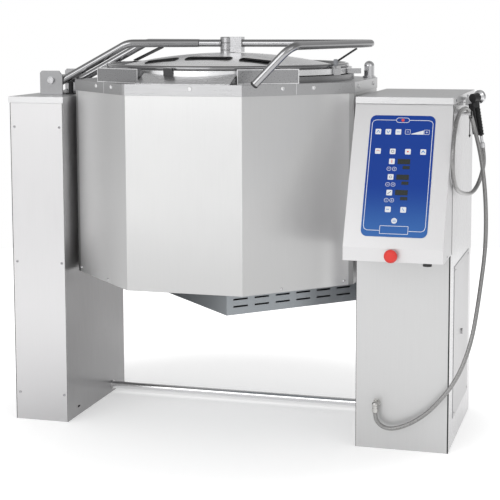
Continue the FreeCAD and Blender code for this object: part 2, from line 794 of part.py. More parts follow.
def make_spout():
    """Sloping pouring lip at the front and the two upright guard plates beside it."""
    slope = d.rim_rise / (casing_half - rim_radius)
    front, back = -(casing_half + d.spout_overhang), -(rim_radius - 40)
    low = deck_height
    rise = (back - front) * slope
    lip = pad_body("lip_plate", "YZ", -d.spout_half_width, d.spout_half_width * 2, [
        (front, low), (back, low + rise), (back, low + rise + d.guard_sheet), (front, low + d.guard_sheet)])
    room = rod("lip_room", rim_radius + d.seat_gap, (0.0, 0.0, low - 5), 80.0)
    sub_part("pouring_lip", cut("lip", lip, room))
    guards = []
    for side, turn in (("left", -1), ("right", 1)):
        t = d.guard_sheet
        y = d.guard_inset - casing_half
        start, end = (-d.guard_inner, d.guard_outer) if turn > 0 else (-d.guard_outer, d.guard_inner)
        low_z, high_z = deck_height, deck_height + d.guard_height
        plate = block(f"{side}_guard_plate", (start, y - t, low_z), (end, y, high_z))
        hem_start = start if turn > 0 else end - t
        hem = block(f"{side}_guard_hem", (hem_start, y, low_z), (hem_start + t, y + 14, high_z))
        foot = block(f"{side}_guard_foot", (start, y, low_z), (end, y + 14, low_z + t))
        guard = join(f"{side}_guard", plate, hem, foot)
        guard.Placement = Placement(Vector(), Rotation(Z, turn * float(d.guard_angle)))
        guards.append(guard)
    sub_part("spout_guards", join("guards", *guards))


def make_trunnions():
    """Trunnions that carry the vessel, with a boss against the jacket and a flange on the casing."""
    for name, side in (("left_trunnion", -1), ("right_trunnion", 1)):
        axis = X * side
        jacket = jacket_outer + d.seat_gap
        boss_end = casing_half + d.trunnion_flange_thickness
        gap = d.left_gap if side < 0 else d.right_gap
        boss_foot = (side * jacket, 0.0, tilt_height)
        boss = rod(f"{name}_boss", d.trunnion_boss, boss_foot, boss_end - jacket, axis)
        flange = rod(f"{name}_flange", d.trunnion_flange, (side * casing_half, 0.0, tilt_height),
                     d.trunnion_flange_thickness, axis)
        reach = casing_half + gap + d.trunnion_reach - boss_end
        shaft = rod(f"{name}_shaft", d.trunnion_radius, (side * boss_end, 0.0, tilt_height), reach, axis)
        sub_part(name, join(f"{name}_body", boss, flange, shaft))


def make_drive_box():
    """Louvred box under the casing and the stirrer's gearmotor in it."""
    wall = d.column_sheet
    x0, x1 = -d.drive_box_left, d.drive_box_right
    y0, y1 = -d.drive_box_front, d.drive_box_back
    outside = block("box_outside", (x0, y0, drive_box_bottom), (x1, y1, d.casing_bottom))
    inside = block("box_inside", (x0 + wall, y0 + wall, drive_box_bottom + wall),
                   (x1 - wall, y1 - wall, d.casing_bottom + 1))
    slots = []
    count = int((x1 - x0 - d.louvre_margin) // d.louvre_pitch)
    middle = drive_box_bottom + d.drive_box_height / 2
    for row in (-1, 1):
        height = middle + row * d.louvre_row_pitch / 2
        for step in range(count):
            start = x0 + d.louvre_margin + d.louvre_pitch * step
            low = (start, y0 - 1, height - d.louvre_width / 2)
            high = (start + d.louvre_length, y0 + wall + 1, height + d.louvre_width / 2)
            slots.append(block(f"louvre_{step}_{'low' if row < 0 else 'high'}", low, high))
    box = cut("drive_box_sheet", outside, inside, *slots)
    box.Placement = Placement(Vector(), Rotation(Z, 45))
    sub_part("louvred_drive_box", box)

    foot = shaft_tube_foot - d.gearbox_height
    bore = d.shaft_radius + d.running
    gearbox = turned_body("gearbox_turned", [
        (0.0, foot), (d.gearbox_radius - 10, foot), (d.gearbox_radius, foot + 10),
        (d.gearbox_radius, shaft_tube_foot - 10), (d.gearbox_radius + 20, shaft_tube_foot - 10),
        (d.gearbox_radius + 20, shaft_tube_foot), (bore, shaft_tube_foot),
        (bore, shaft_foot - d.seat_gap), (0.0, shaft_foot - d.seat_gap)])
    diagonal = Vector(1, -1, 0).normalize()
    motor_height = drive_box_bottom + wall + d.drive_motor_radius + d.seat_gap
    start = diagonal * float(d.gearbox_radius)
    motor = rod("drive_motor_case", d.drive_motor_radius,
                (start.x, start.y, motor_height), d.drive_motor_length, diagonal)
    room = rod("drive_motor_room", d.gearbox_radius + d.seat_gap, (0.0, 0.0, drive_box_bottom), 120.0)
    sub_part("stirrer_gearmotor", join("stirrer_drive", gearbox, cut("drive_motor", motor, room)))


def make_safety_valve():
    """Domed valve on the deck, with its flange."""
    r, low = d.valve_radius, deck_height
    top = low + d.valve_height
    valve = turned_body("valve_turned", [
        (0.0, low), (r + 4.5, low), (r + 4.5, low + 5), (r, low + 6), (r, top - r, r, True), (0.0, top)])
    put(valve, (casing_half - d.valve_inset, d.valve_y, 0.0))
    sub_part("safety_valve", valve)


def anchor_outline(reach, centre, top):
    """Half of the stirrer's anchor bar, as its outline in X and Z."""
    inner = reach - d.anchor_bar
    return [
        (-reach, centre, reach, True), (0.0, centre - reach, reach, True), (reach, centre),
        (reach, top), (inner, top), (inner, centre, inner, False),
        (0.0, centre - inner, inner, False), (-inner, centre), (-inner, top), (-reach, top)]


def make_stirrer():
    """Stirrer: shaft with hub, anchor frame with a bridge, and scrapers."""
    centre = bowl_centre
    reach = d.bowl_radius - d.anchor_clearance
    hub_foot = shaft_tube_top + d.seal_height + d.seat_gap
    anchor_low = centre - reach
    shaft = turned_body("stirrer_shaft_turned", [
        (0.0, shaft_foot), (d.shaft_radius, shaft_foot), (d.shaft_radius, hub_foot),
        (d.shaft_radius + 16, hub_foot), (d.shaft_radius + 16, hub_foot + 8),
        (d.shaft_radius - 4, hub_foot + 40), (d.shaft_radius - 4, anchor_bridge - d.anchor_bar / 2),
        (0.0, anchor_bridge - d.anchor_bar / 2)])
    depth = d.anchor_depth
    bar = pad_body("anchor_bar", "XZ", depth / 2, depth, anchor_outline(reach, centre, anchor_top))
    post_room = rod("anchor_room", d.shaft_radius + 16 + d.seat_gap, (0.0, 0.0, anchor_low - 5), 60.0)
    chord = root(reach * reach - (centre - anchor_bridge) * (centre - anchor_bridge))
    bridge_half = chord - d.anchor_bar
    half_bar = d.anchor_bar / 2
    bridge = block("anchor_bridge", (-bridge_half, -depth / 2, anchor_bridge - half_bar),
                   (bridge_half, depth / 2, anchor_bridge + half_bar))
    frame = join("anchor_frame", cut("anchor_bar_open", bar, post_room), bridge)
    sub_part("stirrer_shaft", shaft)
    sub_part("stirrer_frame", frame)

    depth = d.anchor_depth * 0.6
    outer, inner = d.bowl_radius - d.scraper_clearance, reach + d.seat_gap
    blades = []
    for number, (low_angle, high_angle) in enumerate(((198, 222), (236, 256), (284, 304), (318, 342))):
        corners = []
        ends = ((outer, low_angle), (outer, high_angle), (inner, high_angle), (inner, low_angle))
        for radius, angle in ends:
            turn = math.radians(angle)
            corners.append((radius * math.cos(turn), centre + radius * math.sin(turn)))
        corners[0] += (outer, True)
        corners[2] += (inner, False)
        blades.append(pad_body(f"blade_{number}", "XZ", depth / 2, depth, corners))
    for name, side in (("left", -1), ("right", 1)):
        low_x, high_x = (inner, outer) if side > 0 else (-outer, -inner)
        low, high = (low_x, -depth / 2, centre), (high_x, depth / 2, centre + 70)
        blades.append(block(f"{name}_blade", low, high))
    sub_part("stirrer_scrapers", join("blades", *blades))


def arm_start():
    """Where the front lid arm leaves the hinge sleeve."""
    return Vector(-float(hinge_x) + 8, -float(d.arm_spread), float(hinge_height) - 15)


def arm_slope():
    """Angle of a lid arm's rising run above the horizontal."""
    start = arm_start()
    return math.atan2(float(frame_height) - start.z, -float(d.arm_bend_x) - start.x)


def make_lid_frame():
    """Lid frame: sleeve on the hinge pin, two bent arms, cross tube with its handle, struts."""
    span = d.bracket_half_span - d.bracket_sheet - d.seat_gap
    sleeve_foot = (-hinge_x, -span, hinge_height)
    sleeve = rod("sleeve_outer", d.hinge_sleeve_radius, sleeve_foot, span * 2, Y)
    bore = rod("sleeve_bore", d.hinge_pin_radius + d.running, sleeve_foot, span * 2, Y)
    sub_part("lid_hinge_sleeve", cut("sleeve", sleeve, bore))

    height = float(frame_height)
    radius = float(d.arm_radius)
    start = arm_start()
    bend = Vector(-float(d.arm_bend_x), -float(d.arm_spread), height)
    join_point = Vector(-float(d.arm_join_x), -radius * 0.4, height)
    arm, _ = tube([start, bend, join_point], radius, [60.0])
    sleeve_room = Part.makeCylinder(float(d.hinge_sleeve_radius), 400,
                                    Vector(-float(hinge_x), -200, float(hinge_height)), Y)
    tube_foot = Vector(-float(d.arm_join_x) - 30, 0, height)
    tube_room = Part.makeCylinder(float(d.tube_radius) + float(d.running), 400, tube_foot, X)
    back_half = Part.makeBox(900, 400, 900, Vector(-800, 0, 600))
    front_arm = arm.cut([sleeve_room, tube_room, back_half])
    back_arm = front_arm.mirror(Vector(), Y)
    sub_part("lid_arm_front", free_shape("front_arm", front_arm))
    sub_part("lid_arm_back", free_shape("back_arm", back_arm))

    corner = Vector(float(handle_corner_x), 0, height)
    knee = Vector(float(d.handle_front_x), -float(handle_front_y), height)
    end = Vector(float(d.handle_end_x), -float(handle_front_y) - 3, float(frame_height - d.handle_drop))
    first = Vector(-float(d.arm_join_x) - 20, 0, height)
    handle, _ = tube([first, corner, knee, end], float(d.tube_radius), [34.0, 45.0])
    grip_direction = (end - knee).normalize()
    opening = Part.makeCylinder(float(d.tube_radius) - 1.5, 60, end - grip_direction * 50, grip_direction)
    sub_part("lid_handle_tube", free_shape("handle_tube", handle.cut(opening)))

    ring_z = float(lid_edge_top + d.ring_tube_radius * 2) + 2.1
    left_foot = Rotation(Z, 161).multVec(X) * float(ring_radius) + Z * (ring_z + 0.5)
    share = 0.3
    arm_point = Vector(-float(d.arm_bend_x) * (1 - share) - float(d.arm_join_x) * share,
                       float(d.arm_spread) * (1 - share), height - radius - 2.4)
    left_strut = bar_between(left_foot, arm_point, 20, 4, Z.cross(arm_point - left_foot))
    right_foot = Rotation(Z, -14).multVec(X) * float(ring_radius) + Z * (ring_z + 0.5)
    along = (knee - corner).normalize()
    handle_point = corner + along * 132 - Z * (float(d.tube_radius) + 2.4)
    right_strut = bar_between(right_foot, handle_point, 8, 4, Z.cross(handle_point - right_foot))
    sub_part("lid_struts", free_shape("struts", Part.makeCompound([left_strut, right_strut])))


def make_lid():
    """Lid: dome with feeding slots, hub, tube ring with its feet, latch and clamp knob."""
    sheet_wall, r = d.lid_sheet, lid_radius
    apex = lid_edge_top + d.dome_rise
    hole = d.hub_radius + d.seat_gap
    dome = turned_body("dome_turned", [
        (hole, apex), (hole, apex - sheet_wall, d.dome_sphere - sheet_wall, False),
        (dome_base_radius, lid_edge_top - sheet_wall), (r - sheet_wall, lid_edge_top - sheet_wall),
        (r - sheet_wall, lid_edge_bottom), (r, lid_edge_bottom), (r, lid_edge_top),
        (dome_base_radius, lid_edge_top, d.dome_sphere, True)])
    front, back, half, bridge = -d.slot_front, -d.slot_back, d.slot_half, d.slot_bridge
    corner = (d.slot_front - d.slot_back) / 4
    side_start = half + bridge
    side_end = side_start + d.slot_side_length
    slots = [
        rounded_rectangle(-side_end, front, -side_start, back, corner),
        rounded_rectangle(-half, front, half, back, corner),
        rounded_rectangle(side_start, front, side_end, back, corner),
    ]
    pocket_sketch = sketch_on(dome, "XY", lid_edge_top, *slots)
    pocket = dome.newObject("PartDesign::Pocket", "dome_slots")
    pocket.Profile = pocket_sketch
    pocket.Reversed = True
    tie(pocket, "Length", d.dome_rise + 10)
    sub_part("lid_dome", dome)

    foot = apex - 15
    flange_top = apex - d.dome_rise * 0.03 - sheet_wall - 0.4
    top = apex + d.hub_height - 6
    hub_r, groove = d.hub_radius, 1.0
    turned = turned_body("hub_turned", [
        (0.0, foot), (d.hub_flange, foot), (d.hub_flange, flange_top), (hub_r, flange_top),
        (hub_r, apex + 8), (hub_r - groove, apex + 8), (hub_r - groove, apex + 9.5), (hub_r, apex + 9.5),
        (hub_r, top - 20), (hub_r - groove, top - 20), (hub_r - groove, top - 18.5), (hub_r, top - 18.5),
        (hub_r, top - 2), (hub_r - 2, top), (0.0, top)])
    side = d.hub_block_half
    lug = block("hub_lug", (0.0, -side, apex + 2), (hub_r + d.hub_block_length, side, top))
    passage = rod("hub_passage", d.tube_radius + 0.1, (-hub_r - 5, 0.0, frame_height),
                  hub_r * 2 + d.hub_block_length + 10, X)
    sub_part("lid_hub", cut("hub", join("hub_body", turned, lug), passage))

    ring = document.addObject("Part::Torus", "ring_tube")
    tie(ring, "Radius1", ring_radius)
    tie(ring, "Radius2", d.ring_tube_radius)
    put(ring, (0.0, 0.0, lid_edge_top + d.ring_tube_radius + d.seat_gap))
    sub_part("lid_ring", ring)

    ring_out = ring_radius + d.ring_tube_radius + d.seat_gap
    wall_in, wall_out = r + d.seat_gap, r + 6
    half_width = d.foot_width / 2
    feet = []
    for number, angle in enumerate((-99, 79, 168)):
        top_tab = block(f"foot_tab_{number}", (ring_out, -half_width, lid_edge_top + d.seat_gap),
                        (wall_out, half_width, lid_edge_top + 9))
        leg = block(f"foot_leg_{number}", (wall_in, -half_width, lid_edge_bottom),
                    (wall_out, half_width, lid_edge_top + 9))
        one = join(f"foot_{number}", top_tab, leg)
        one.Placement = Placement(Vector(), Rotation(Z, angle))
        feet.append(one)
    latch = block("latch_block", (wall_in, -20.0, lid_edge_bottom + 2),
                  (wall_in + 13, 20.0, lid_edge_top - 2))
    latch.Placement = Placement(Vector(), Rotation(Z, -73))
    clamp_angle = -17
    stem = 3.0
    knob_x = ring_out + d.knob_radius + 1
    clamp_out = knob_x + d.knob_radius + 3
    tab = block("clamp_tab", (ring_out, -12.0, lid_edge_top + d.seat_gap),
                (clamp_out, 12.0, lid_edge_top + 9))
    jaw = block("clamp_jaw", (wall_in, -20.0, lid_edge_bottom), (wall_in + 6, 20.0, lid_edge_top + 9))
    stem_hole = rod("clamp_hole", stem + d.running, (knob_x, 0.0, lid_edge_bottom), 40.0)
    clamp = cut("clamp", join("clamp_body", tab, jaw), stem_hole)
    clamp.Placement = Placement(Vector(), Rotation(Z, clamp_angle))
    sub_part("lid_feet", join("feet", *feet, latch, clamp))
    knob_foot = lid_edge_top + 9 + d.seat_gap
    knob = turned_body("knob_turned", [
        (0.0, lid_edge_top + 2), (stem, lid_edge_top + 2), (stem, knob_foot), (d.knob_radius, knob_foot),
        (d.knob_radius, knob_foot + d.knob_height - 2), (d.knob_radius - 2, knob_foot + d.knob_height),
        (0.0, knob_foot + d.knob_height)])
    centre = Rotation(Z, clamp_angle).multVec(X) * float(knob_x)
    knob.Placement = Placement(centre, Rotation())
    sub_part("clamp_knob", knob)


def gun_frame():
    """Frame of the hand shower: its nozzle along +Y and its grip along -Z, turned and leaning."""
    turn = Rotation(Z, -float(d.gun_turn))
    lean = Rotation(Y, -float(d.gun_lean))
    return Placement(Vector(right_outer + d.head_reach, d.head_y, head_height), lean * turn)


def make_hand_shower():
    """Hand shower on its hanger: head, rose, core with tail, ribbed grip and lever."""
    frame = gun_frame()
    head_r, pin_r = d.head_radius, d.lever_pin_radius
    pivot = (0.0, -12.0, -22.0)
    barrel = rod("head_barrel", head_r, (0.0, 10.0, 0.0), 26.0, -Y)
    neck = block("head_neck", (-6.0, -16.0, -32.0), (6.0, 7.0, -10.0))
    pin = rod("head_pin", pin_r, (-10.5, pivot[1], pivot[2]), 21.0, X)
    rose = turned_body("rose_turned", [
        (0.0, 10.0), (d.rose_radius * 0.6, 10.0), (d.rose_radius, 16.0), (d.rose_radius, 24.0),
        (d.rose_radius - 4, 24.0), (d.rose_radius - 5, 21.0), (0.0, 21.0)])
    core_r = d.grip_radius - 3.5
    low = -32 - d.grip_length
    tail_low = low - 40
    core = turned_body("core_turned", [
        (0.0, -32.0), (0.0, tail_low), (d.hose_radius + 1, tail_low), (d.hose_radius + 1, tail_low + 14),
        (core_r - 1, tail_low + 17), (core_r - 1, low), (core_r, low), (core_r, -32.0)])
    head = join("head", barrel, neck, pin, core)
    ribs = [(core_r + d.running, -32.0), (core_r + d.running, low), (d.grip_radius, low)]
    count = 9
    step = d.grip_length / count
    for number in range(count):
        foot = low + step * number
        groove = d.grip_radius - 1.5
        ribs += [
            (d.grip_radius, foot + step * 0.6), (groove, foot + step * 0.7),
            (groove, foot + step * 0.9), (d.grip_radius, foot + step)]
    grip = turned_body("grip_turned", ribs)
    half = d.lever_width / 2
    strip = block("lever_strip", (-half, -27.0, -112.0), (half, -23.0, -16.0))
    cheeks = [
        block(f"lever_cheek_{side}", (-half if side < 0 else half - 3, -27.0, -28.0),
              (3 - half if side < 0 else half, -7.0, -16.0))
        for side in (-1, 1)
    ]
    holes = rod("lever_bore", pin_r + d.running, (-half - 1, pivot[1], pivot[2]), d.lever_width + 2, X)
    lever = cut("lever", join("lever_body", strip, *cheeks), holes)
    for label, thing in (("shower_body", head), ("shower_grip", grip), ("shower_lever", lever)):
        thing.Placement = frame
        sub_part(label, thing)
    rose.Placement = frame.multiply(Placement(Vector(), Rotation(Z, Y)))
    sub_part("shower_rose", rose)


def make_hanger():
    """Hanger for the hand shower and hose, with the rod that hangs from it."""
    side, hook_y, hook_z = right_outer, -d.hook_y, hook_height
    clear = side + d.cover_overhang + d.seat_gap
    plate_y, plate_top = d.head_y + 17, head_height
    plate = block("hanger_plate", (clear, plate_y, plate_top - 26), (clear + 20, plate_y + 2, plate_top))
    arm = block("hanger_arm", (side, plate_y, plate_top - 18), (side + 36, plate_y + 2, plate_top - 15))
    flange = rod("hook_flange", 13.0, (side, hook_y, hook_z), 3.0, X)
    hook = rod("hook_bar", 5.5, (side, hook_y, hook_z), 38.0, X)
    sub_part("shower_hanger", join("hanger", plate, arm, flange, hook))
    cap = rod("cap_disc", 7.5, (side + 38, hook_y, hook_z), 5.0, X)
    staple = rod("cap_staple", 1.5, (side + 32, hook_y, hook_z - 13), 11.0, X)
    bridge = block("cap_bridge", (side + 40, hook_y - 1.5, hook_z - 14.5),
                   (side + 43, hook_y + 1.5, hook_z - 5))
    sub_part("hook_cap", join("cap", cap, staple, bridge))
    eye = rod("rod_eye", 4.5, (side + 34, hook_y, hook_z - 13), 3.0, X)
    eye_hole = rod("rod_eye_hole", 1.5 + d.running, (side + 33, hook_y, hook_z - 13), 5.0, X)
    stem_foot = hook_z - d.rod_drop
    stem = rod("rod_stem", 1.4, (side + 35.5, hook_y, stem_foot), d.rod_drop - 17, Z)
    point = turned_body("rod_point", [
        (0.0, stem_foot - 12), (3.5, stem_foot - 5), (1.4, stem_foot), (0.0, stem_foot)])
    put(point, (side + 35.5, hook_y, 0.0))
    hanging = cut("hanging", join("hanging_body", eye, stem, point), eye_hole)
    sub_part("hanging_rod", hanging)


def hose_route():
    """The hose's route: the tap's ferrule, the column's corner, the hook and the grip's tail."""
    tail = gun_frame().multVec(Vector(0, 0, -32 - float(d.grip_length) - 40))
    down = gun_frame().Rotation.multVec(-Z)
    ferrule = Vector(tap_x, tap_y, d.tap_height - 24)
    corner = Vector(right_outer, column_front, 0)
    hook = Vector(right_outer, -d.hook_y, hook_height)
    stretches = [
        (ferrule, [
            (0, 0, 0), (0, 0, -18), (9.5, 0, -35), (26, -1, -44.5), (46, -2, -44)]),
        (corner, [
            (-137, -31, 90), (-100, -33, 109), (-60, -35, 137), (-24, -34, 170), (8, -29, 210),
            (35, -20, 258), (54, -5, 310), (67, 18, 364), (75, 49, 430), (82, 86, 510),
            (89, 122, 600), (88, 151, 690), (81, 174, 780)]),
        (hook, [
            (69, 56, -161.7), (55, 64, -97.7), (42, 66, -50.7), (34, 44, -9.7), (27, 4, 15.3),
            (21, -48, 18.3), (16, -104, 6.3), (13, -152, -20.7), (12.5, -192, -61.7),
            (13, -216, -110.7), (13, -206, -161.7), (13.5, -165, -199.7), (15, -103, -224.7),
            (20, -34, -239.7), (28, 21, -248.7), (36, 60, -250.7), (45, 90, -240.7),
            (54, 110, -219.7), (62, 120, -189.7)]),
    ]
    route = [start + Vector(*offset) for start, offsets in stretches for offset in offsets]
    return route + [tail + down * 38, tail]


def make_hose():
    """Water hose as a plain tube on its route, with the tap and ferrule that it starts from."""
    points = hose_route()
    radii = []
    for before, corner, after in zip(points, points[1:], points[2:]):
        incoming, outgoing = corner - before, after - corner
        half_turn = incoming.getAngle(outgoing) / 2
        radii.append(0.45 * min(incoming.Length, outgoing.Length) / math.tan(half_turn))
    radius = float(d.hose_radius)
    shape, length = tube(points, radius, radii)
    print("hose bend radii", [round(value) for value in radii])
    share = shape.Volume / (math.pi * radius ** 2 * length)
    print("hose length", round(length), "volume share", round(share, 4))
    sub_part("water_hose", free_shape("hose", shape))

    exit_point = points[0]
    height = float(d.tap_height)
    front = float(column_front)
    axis_end = Vector(float(tap_x), float(tap_y), height)
    stub = Part.makeCylinder(8, front - axis_end.y, axis_end, Y)
    corners = [math.radians(60 * number) for number in range(7)]
    hexagon = [axis_end + Vector(12 * math.cos(a), front - axis_end.y, 12 * math.sin(a)) for a in corners]
    nut = Part.Face(Part.makePolygon(hexagon)).extrude(Vector(0, -13, 0))
    knee = Part.makeSphere(10, axis_end)
    leg = Part.makeCylinder(8.5, height - exit_point.z - 12, axis_end, -Z)
    ferrule = Part.makeCylinder(9.5, 12, exit_point, Z)
    sub_part("water_tap_elbow", free_shape("tap_elbow", stub.multiFuse([nut, knee, leg, ferrule])))


def check_all():
    """Stops if an object failed or a sub-part has no sound shape."""
    for thing in document.Objects:
        if {"Invalid", "Error"} & set(thing.State):
            raise RuntimeError(f"{thing.Name} failed: {thing.State}")
    for thing in sub_parts:
        if thing.Shape.isNull() or not thing.Shape.isValid() or not thing.Shape.Solids:
            raise RuntimeError(f"{thing.Label} has no sound solid")


def main():
    """Builds the kettle and writes each sub-part to its own file."""
    make_left_column()
    make_right_column()
    make_tie_tube()
    make_console()
    make_lid_hinge()
    make_casing()
    make_bowl()
    make_spout()
    make_trunnions()
    make_drive_box()
    make_safety_valve()
    make_stirrer()
    make_lid_frame()
    make_lid()
    make_hand_shower()
    make_hanger()
    make_hose()
    document.recompute()
    check_all()
    os.makedirs("parts", exist_ok=True)
    for thing in sub_parts:
        thing.Shape.exportStep(f"parts/{thing.Label}.step")
    print(len(sub_parts), "sub-parts written")


main()
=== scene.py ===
import json
import math

import bmesh
import bpy
from mathutils import Matrix, Vector


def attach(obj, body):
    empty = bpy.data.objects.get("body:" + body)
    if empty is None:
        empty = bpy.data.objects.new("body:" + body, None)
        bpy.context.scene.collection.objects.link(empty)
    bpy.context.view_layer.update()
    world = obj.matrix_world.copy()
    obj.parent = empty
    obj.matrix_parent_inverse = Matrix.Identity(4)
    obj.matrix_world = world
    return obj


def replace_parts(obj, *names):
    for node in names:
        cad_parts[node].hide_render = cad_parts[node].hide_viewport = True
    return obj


# The tilting kettle's looks: materials, fasteners, seams, the membrane's print and the water hose.
# Metres, in the part's own frame: X to the right, Y to the back, Z up.

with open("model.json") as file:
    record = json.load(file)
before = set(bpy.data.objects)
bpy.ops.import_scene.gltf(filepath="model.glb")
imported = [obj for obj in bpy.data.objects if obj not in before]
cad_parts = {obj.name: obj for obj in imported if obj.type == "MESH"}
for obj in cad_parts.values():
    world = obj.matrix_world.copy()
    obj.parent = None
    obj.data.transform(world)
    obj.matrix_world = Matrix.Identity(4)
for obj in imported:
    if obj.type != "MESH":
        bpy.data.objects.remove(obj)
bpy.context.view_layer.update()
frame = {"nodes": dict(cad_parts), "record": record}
scene = bpy.context.scene
scene.view_settings.view_transform = "Standard"


# The camera: its place, its turn in degrees, and its focal length and shift for a picture of 500 x 500.
CAMERA_PLACE = (1.304, -4.271, 1.301)
CAMERA_YAW, CAMERA_PITCH, CAMERA_ROLL = 16.06, 6.39, -0.19
PICTURE_WIDTH, FOCAL_PIXELS, SENSOR_WIDTH = 500, 1363, 36
CAMERA_SHIFT = -0.15


def make_camera():
    """The camera at the photograph's place, looking from the front and a little from the right."""
    yaw, pitch, roll = (math.radians(angle) for angle in (CAMERA_YAW, CAMERA_PITCH, CAMERA_ROLL))
    forward = Vector((-math.sin(yaw) * math.cos(pitch), math.cos(yaw) * math.cos(pitch), -math.sin(pitch)))
    level = Vector((math.cos(yaw), math.sin(yaw), 0))
    upright = level.cross(forward)
    right = level * math.cos(roll) + upright * math.sin(roll)
    up = upright * math.cos(roll) - level * math.sin(roll)
    data = bpy.data.cameras.new("camera")
    data.sensor_width = SENSOR_WIDTH
    data.lens = FOCAL_PIXELS * SENSOR_WIDTH / PICTURE_WIDTH
    data.shift_y = CAMERA_SHIFT
    camera = bpy.data.objects.new("camera", data)
    scene.collection.objects.link(camera)
    turn = Matrix((right, up, -forward)).transposed().to_4x4()
    camera.matrix_world = Matrix.Translation(CAMERA_PLACE) @ turn
    scene.camera = camera


# The hose's route: down out of the tap, round the column's corner, over the hook, through a loop, up to the grip.
HOSE_RADIUS = 0.0065
HOSE_ROUTE = [
    (0.549, -0.281, 0.121), (0.550, -0.281, 0.103), (0.560, -0.281, 0.085), (0.581, -0.282, 0.0735),
    (0.606, -0.283, 0.0735), (0.641, -0.285, 0.086), (0.676, -0.287, 0.106), (0.712, -0.289, 0.135),
    (0.744, -0.288, 0.170), (0.776, -0.283, 0.210), (0.803, -0.274, 0.258), (0.822, -0.259, 0.310),
    (0.835, -0.236, 0.364), (0.843, -0.205, 0.430), (0.850, -0.168, 0.510), (0.857, -0.132, 0.600),
    (0.856, -0.103, 0.690), (0.849, -0.080, 0.780), (0.837, -0.062, 0.862), (0.823, -0.054, 0.926),
    (0.810, -0.052, 0.973), (0.802, -0.074, 1.014), (0.795, -0.114, 1.039), (0.789, -0.166, 1.042),
    (0.784, -0.222, 1.030), (0.781, -0.270, 1.003), (0.7805, -0.310, 0.962), (0.781, -0.334, 0.913),
    (0.781, -0.324, 0.862), (0.7815, -0.283, 0.824), (0.783, -0.221, 0.799), (0.788, -0.152, 0.784),
    (0.796, -0.097, 0.775), (0.804, -0.058, 0.773), (0.813, -0.028, 0.783), (0.822, -0.008, 0.804),
    (0.830, 0.002, 0.834), (0.83616, 0.004, 0.87241), (0.830217, 0.004, 0.909945),
]


# Node helpers.


def add_node(tree, kind, **settings):
    """A node with its settings and, by name or number, the values of its sockets."""
    node = tree.nodes.new(kind)
    for name, value in settings.items():
        if name == "sockets":
            for socket, number in value.items():
                node.inputs[socket].default_value = number
        else:
            setattr(node, name, value)
    return node


def mapped(tree, source, low, high, from_low=0.3, from_high=0.7, smooth=False):
    """The source value, moved from one range to another."""
    node = add_node(tree, "ShaderNodeMapRange")
    if smooth:
        node.interpolation_type = "SMOOTHSTEP"
    for name, value in (("From Min", from_low), ("From Max", from_high), ("To Min", low), ("To Max", high)):
        node.inputs[name].default_value = value
    tree.links.new(source, node.inputs["Value"])
    return node.outputs["Result"]


def maths(tree, operation, first, second=None):
    """One Math node on sockets or numbers."""
    node = add_node(tree, "ShaderNodeMath", operation=operation)
    for index, value in enumerate((first, second)):
        if value is None:
            continue
        if isinstance(value, (int, float)):
            node.inputs[index].default_value = value
        else:
            tree.links.new(value, node.inputs[index])
    return node.outputs[0]


def mixed(tree, factor, first, second, blend="MIX"):
    """Two colours mixed by a factor; each is a socket or a plain colour."""
    node = add_node(tree, "ShaderNodeMix", data_type="RGBA", blend_type=blend)
    for index, value in ((0, factor), (6, first), (7, second)):
        if isinstance(value, (int, float)):
            node.inputs[index].default_value = value
        elif isinstance(value, (tuple, list)):
            node.inputs[index].default_value = (*value, 1)
        else:
            tree.links.new(value, node.inputs[index])
    return node.outputs[2]


def noise(tree, vector, scale, detail=3.0, roughness=0.55):
    """The value of a noise texture."""
    node = add_node(tree, "ShaderNodeTexNoise", sockets={"Scale": scale, "Detail": detail, "Roughness": roughness})
    tree.links.new(vector, node.inputs["Vector"])
    return node.outputs[0]


def place(tree):
    """The point on the surface in the part's own frame."""
    return add_node(tree, "ShaderNodeTexCoord").outputs["Object"]


def scaled(tree, vector, scale):
    """A vector stretched along each axis."""
    node = add_node(tree, "ShaderNodeMapping", sockets={"Scale": scale})
    tree.links.new(vector, node.inputs["Vector"])
    return node.outputs[0]


def axes(tree, vector):
    """The three coordinates of a vector."""
    split = add_node(tree, "ShaderNodeSeparateXYZ")
    tree.links.new(vector, split.inputs[0])
    return split.outputs[0], split.outputs[1], split.outputs[2]


def from_axis(tree, x, y):
    """The distance from the Z axis."""
    return maths(tree, "SQRT", maths(tree, "ADD", maths(tree, "MULTIPLY", x, x), maths(tree, "MULTIPLY", y, y)))


def turned(tree, vector, scale):
    """The distance from the Z axis, the angle about it and the height, each scaled, for lathe-turned grain."""
    x, y, z = axes(tree, vector)
    together = add_node(tree, "ShaderNodeCombineXYZ")
    for index, value in enumerate((from_axis(tree, x, y), maths(tree, "ARCTAN2", y, x), z)):
        tree.links.new(maths(tree, "MULTIPLY", value, scale[index]), together.inputs[index])
    return together.outputs[0]


def dimmed(tree, base, tint):
    """A colour multiplied by a tint."""
    return mixed(tree, 1.0, base, tint, "MULTIPLY")


COAT_ROUGHNESS = 0.08
BUMP_DEPTH = 0.0005


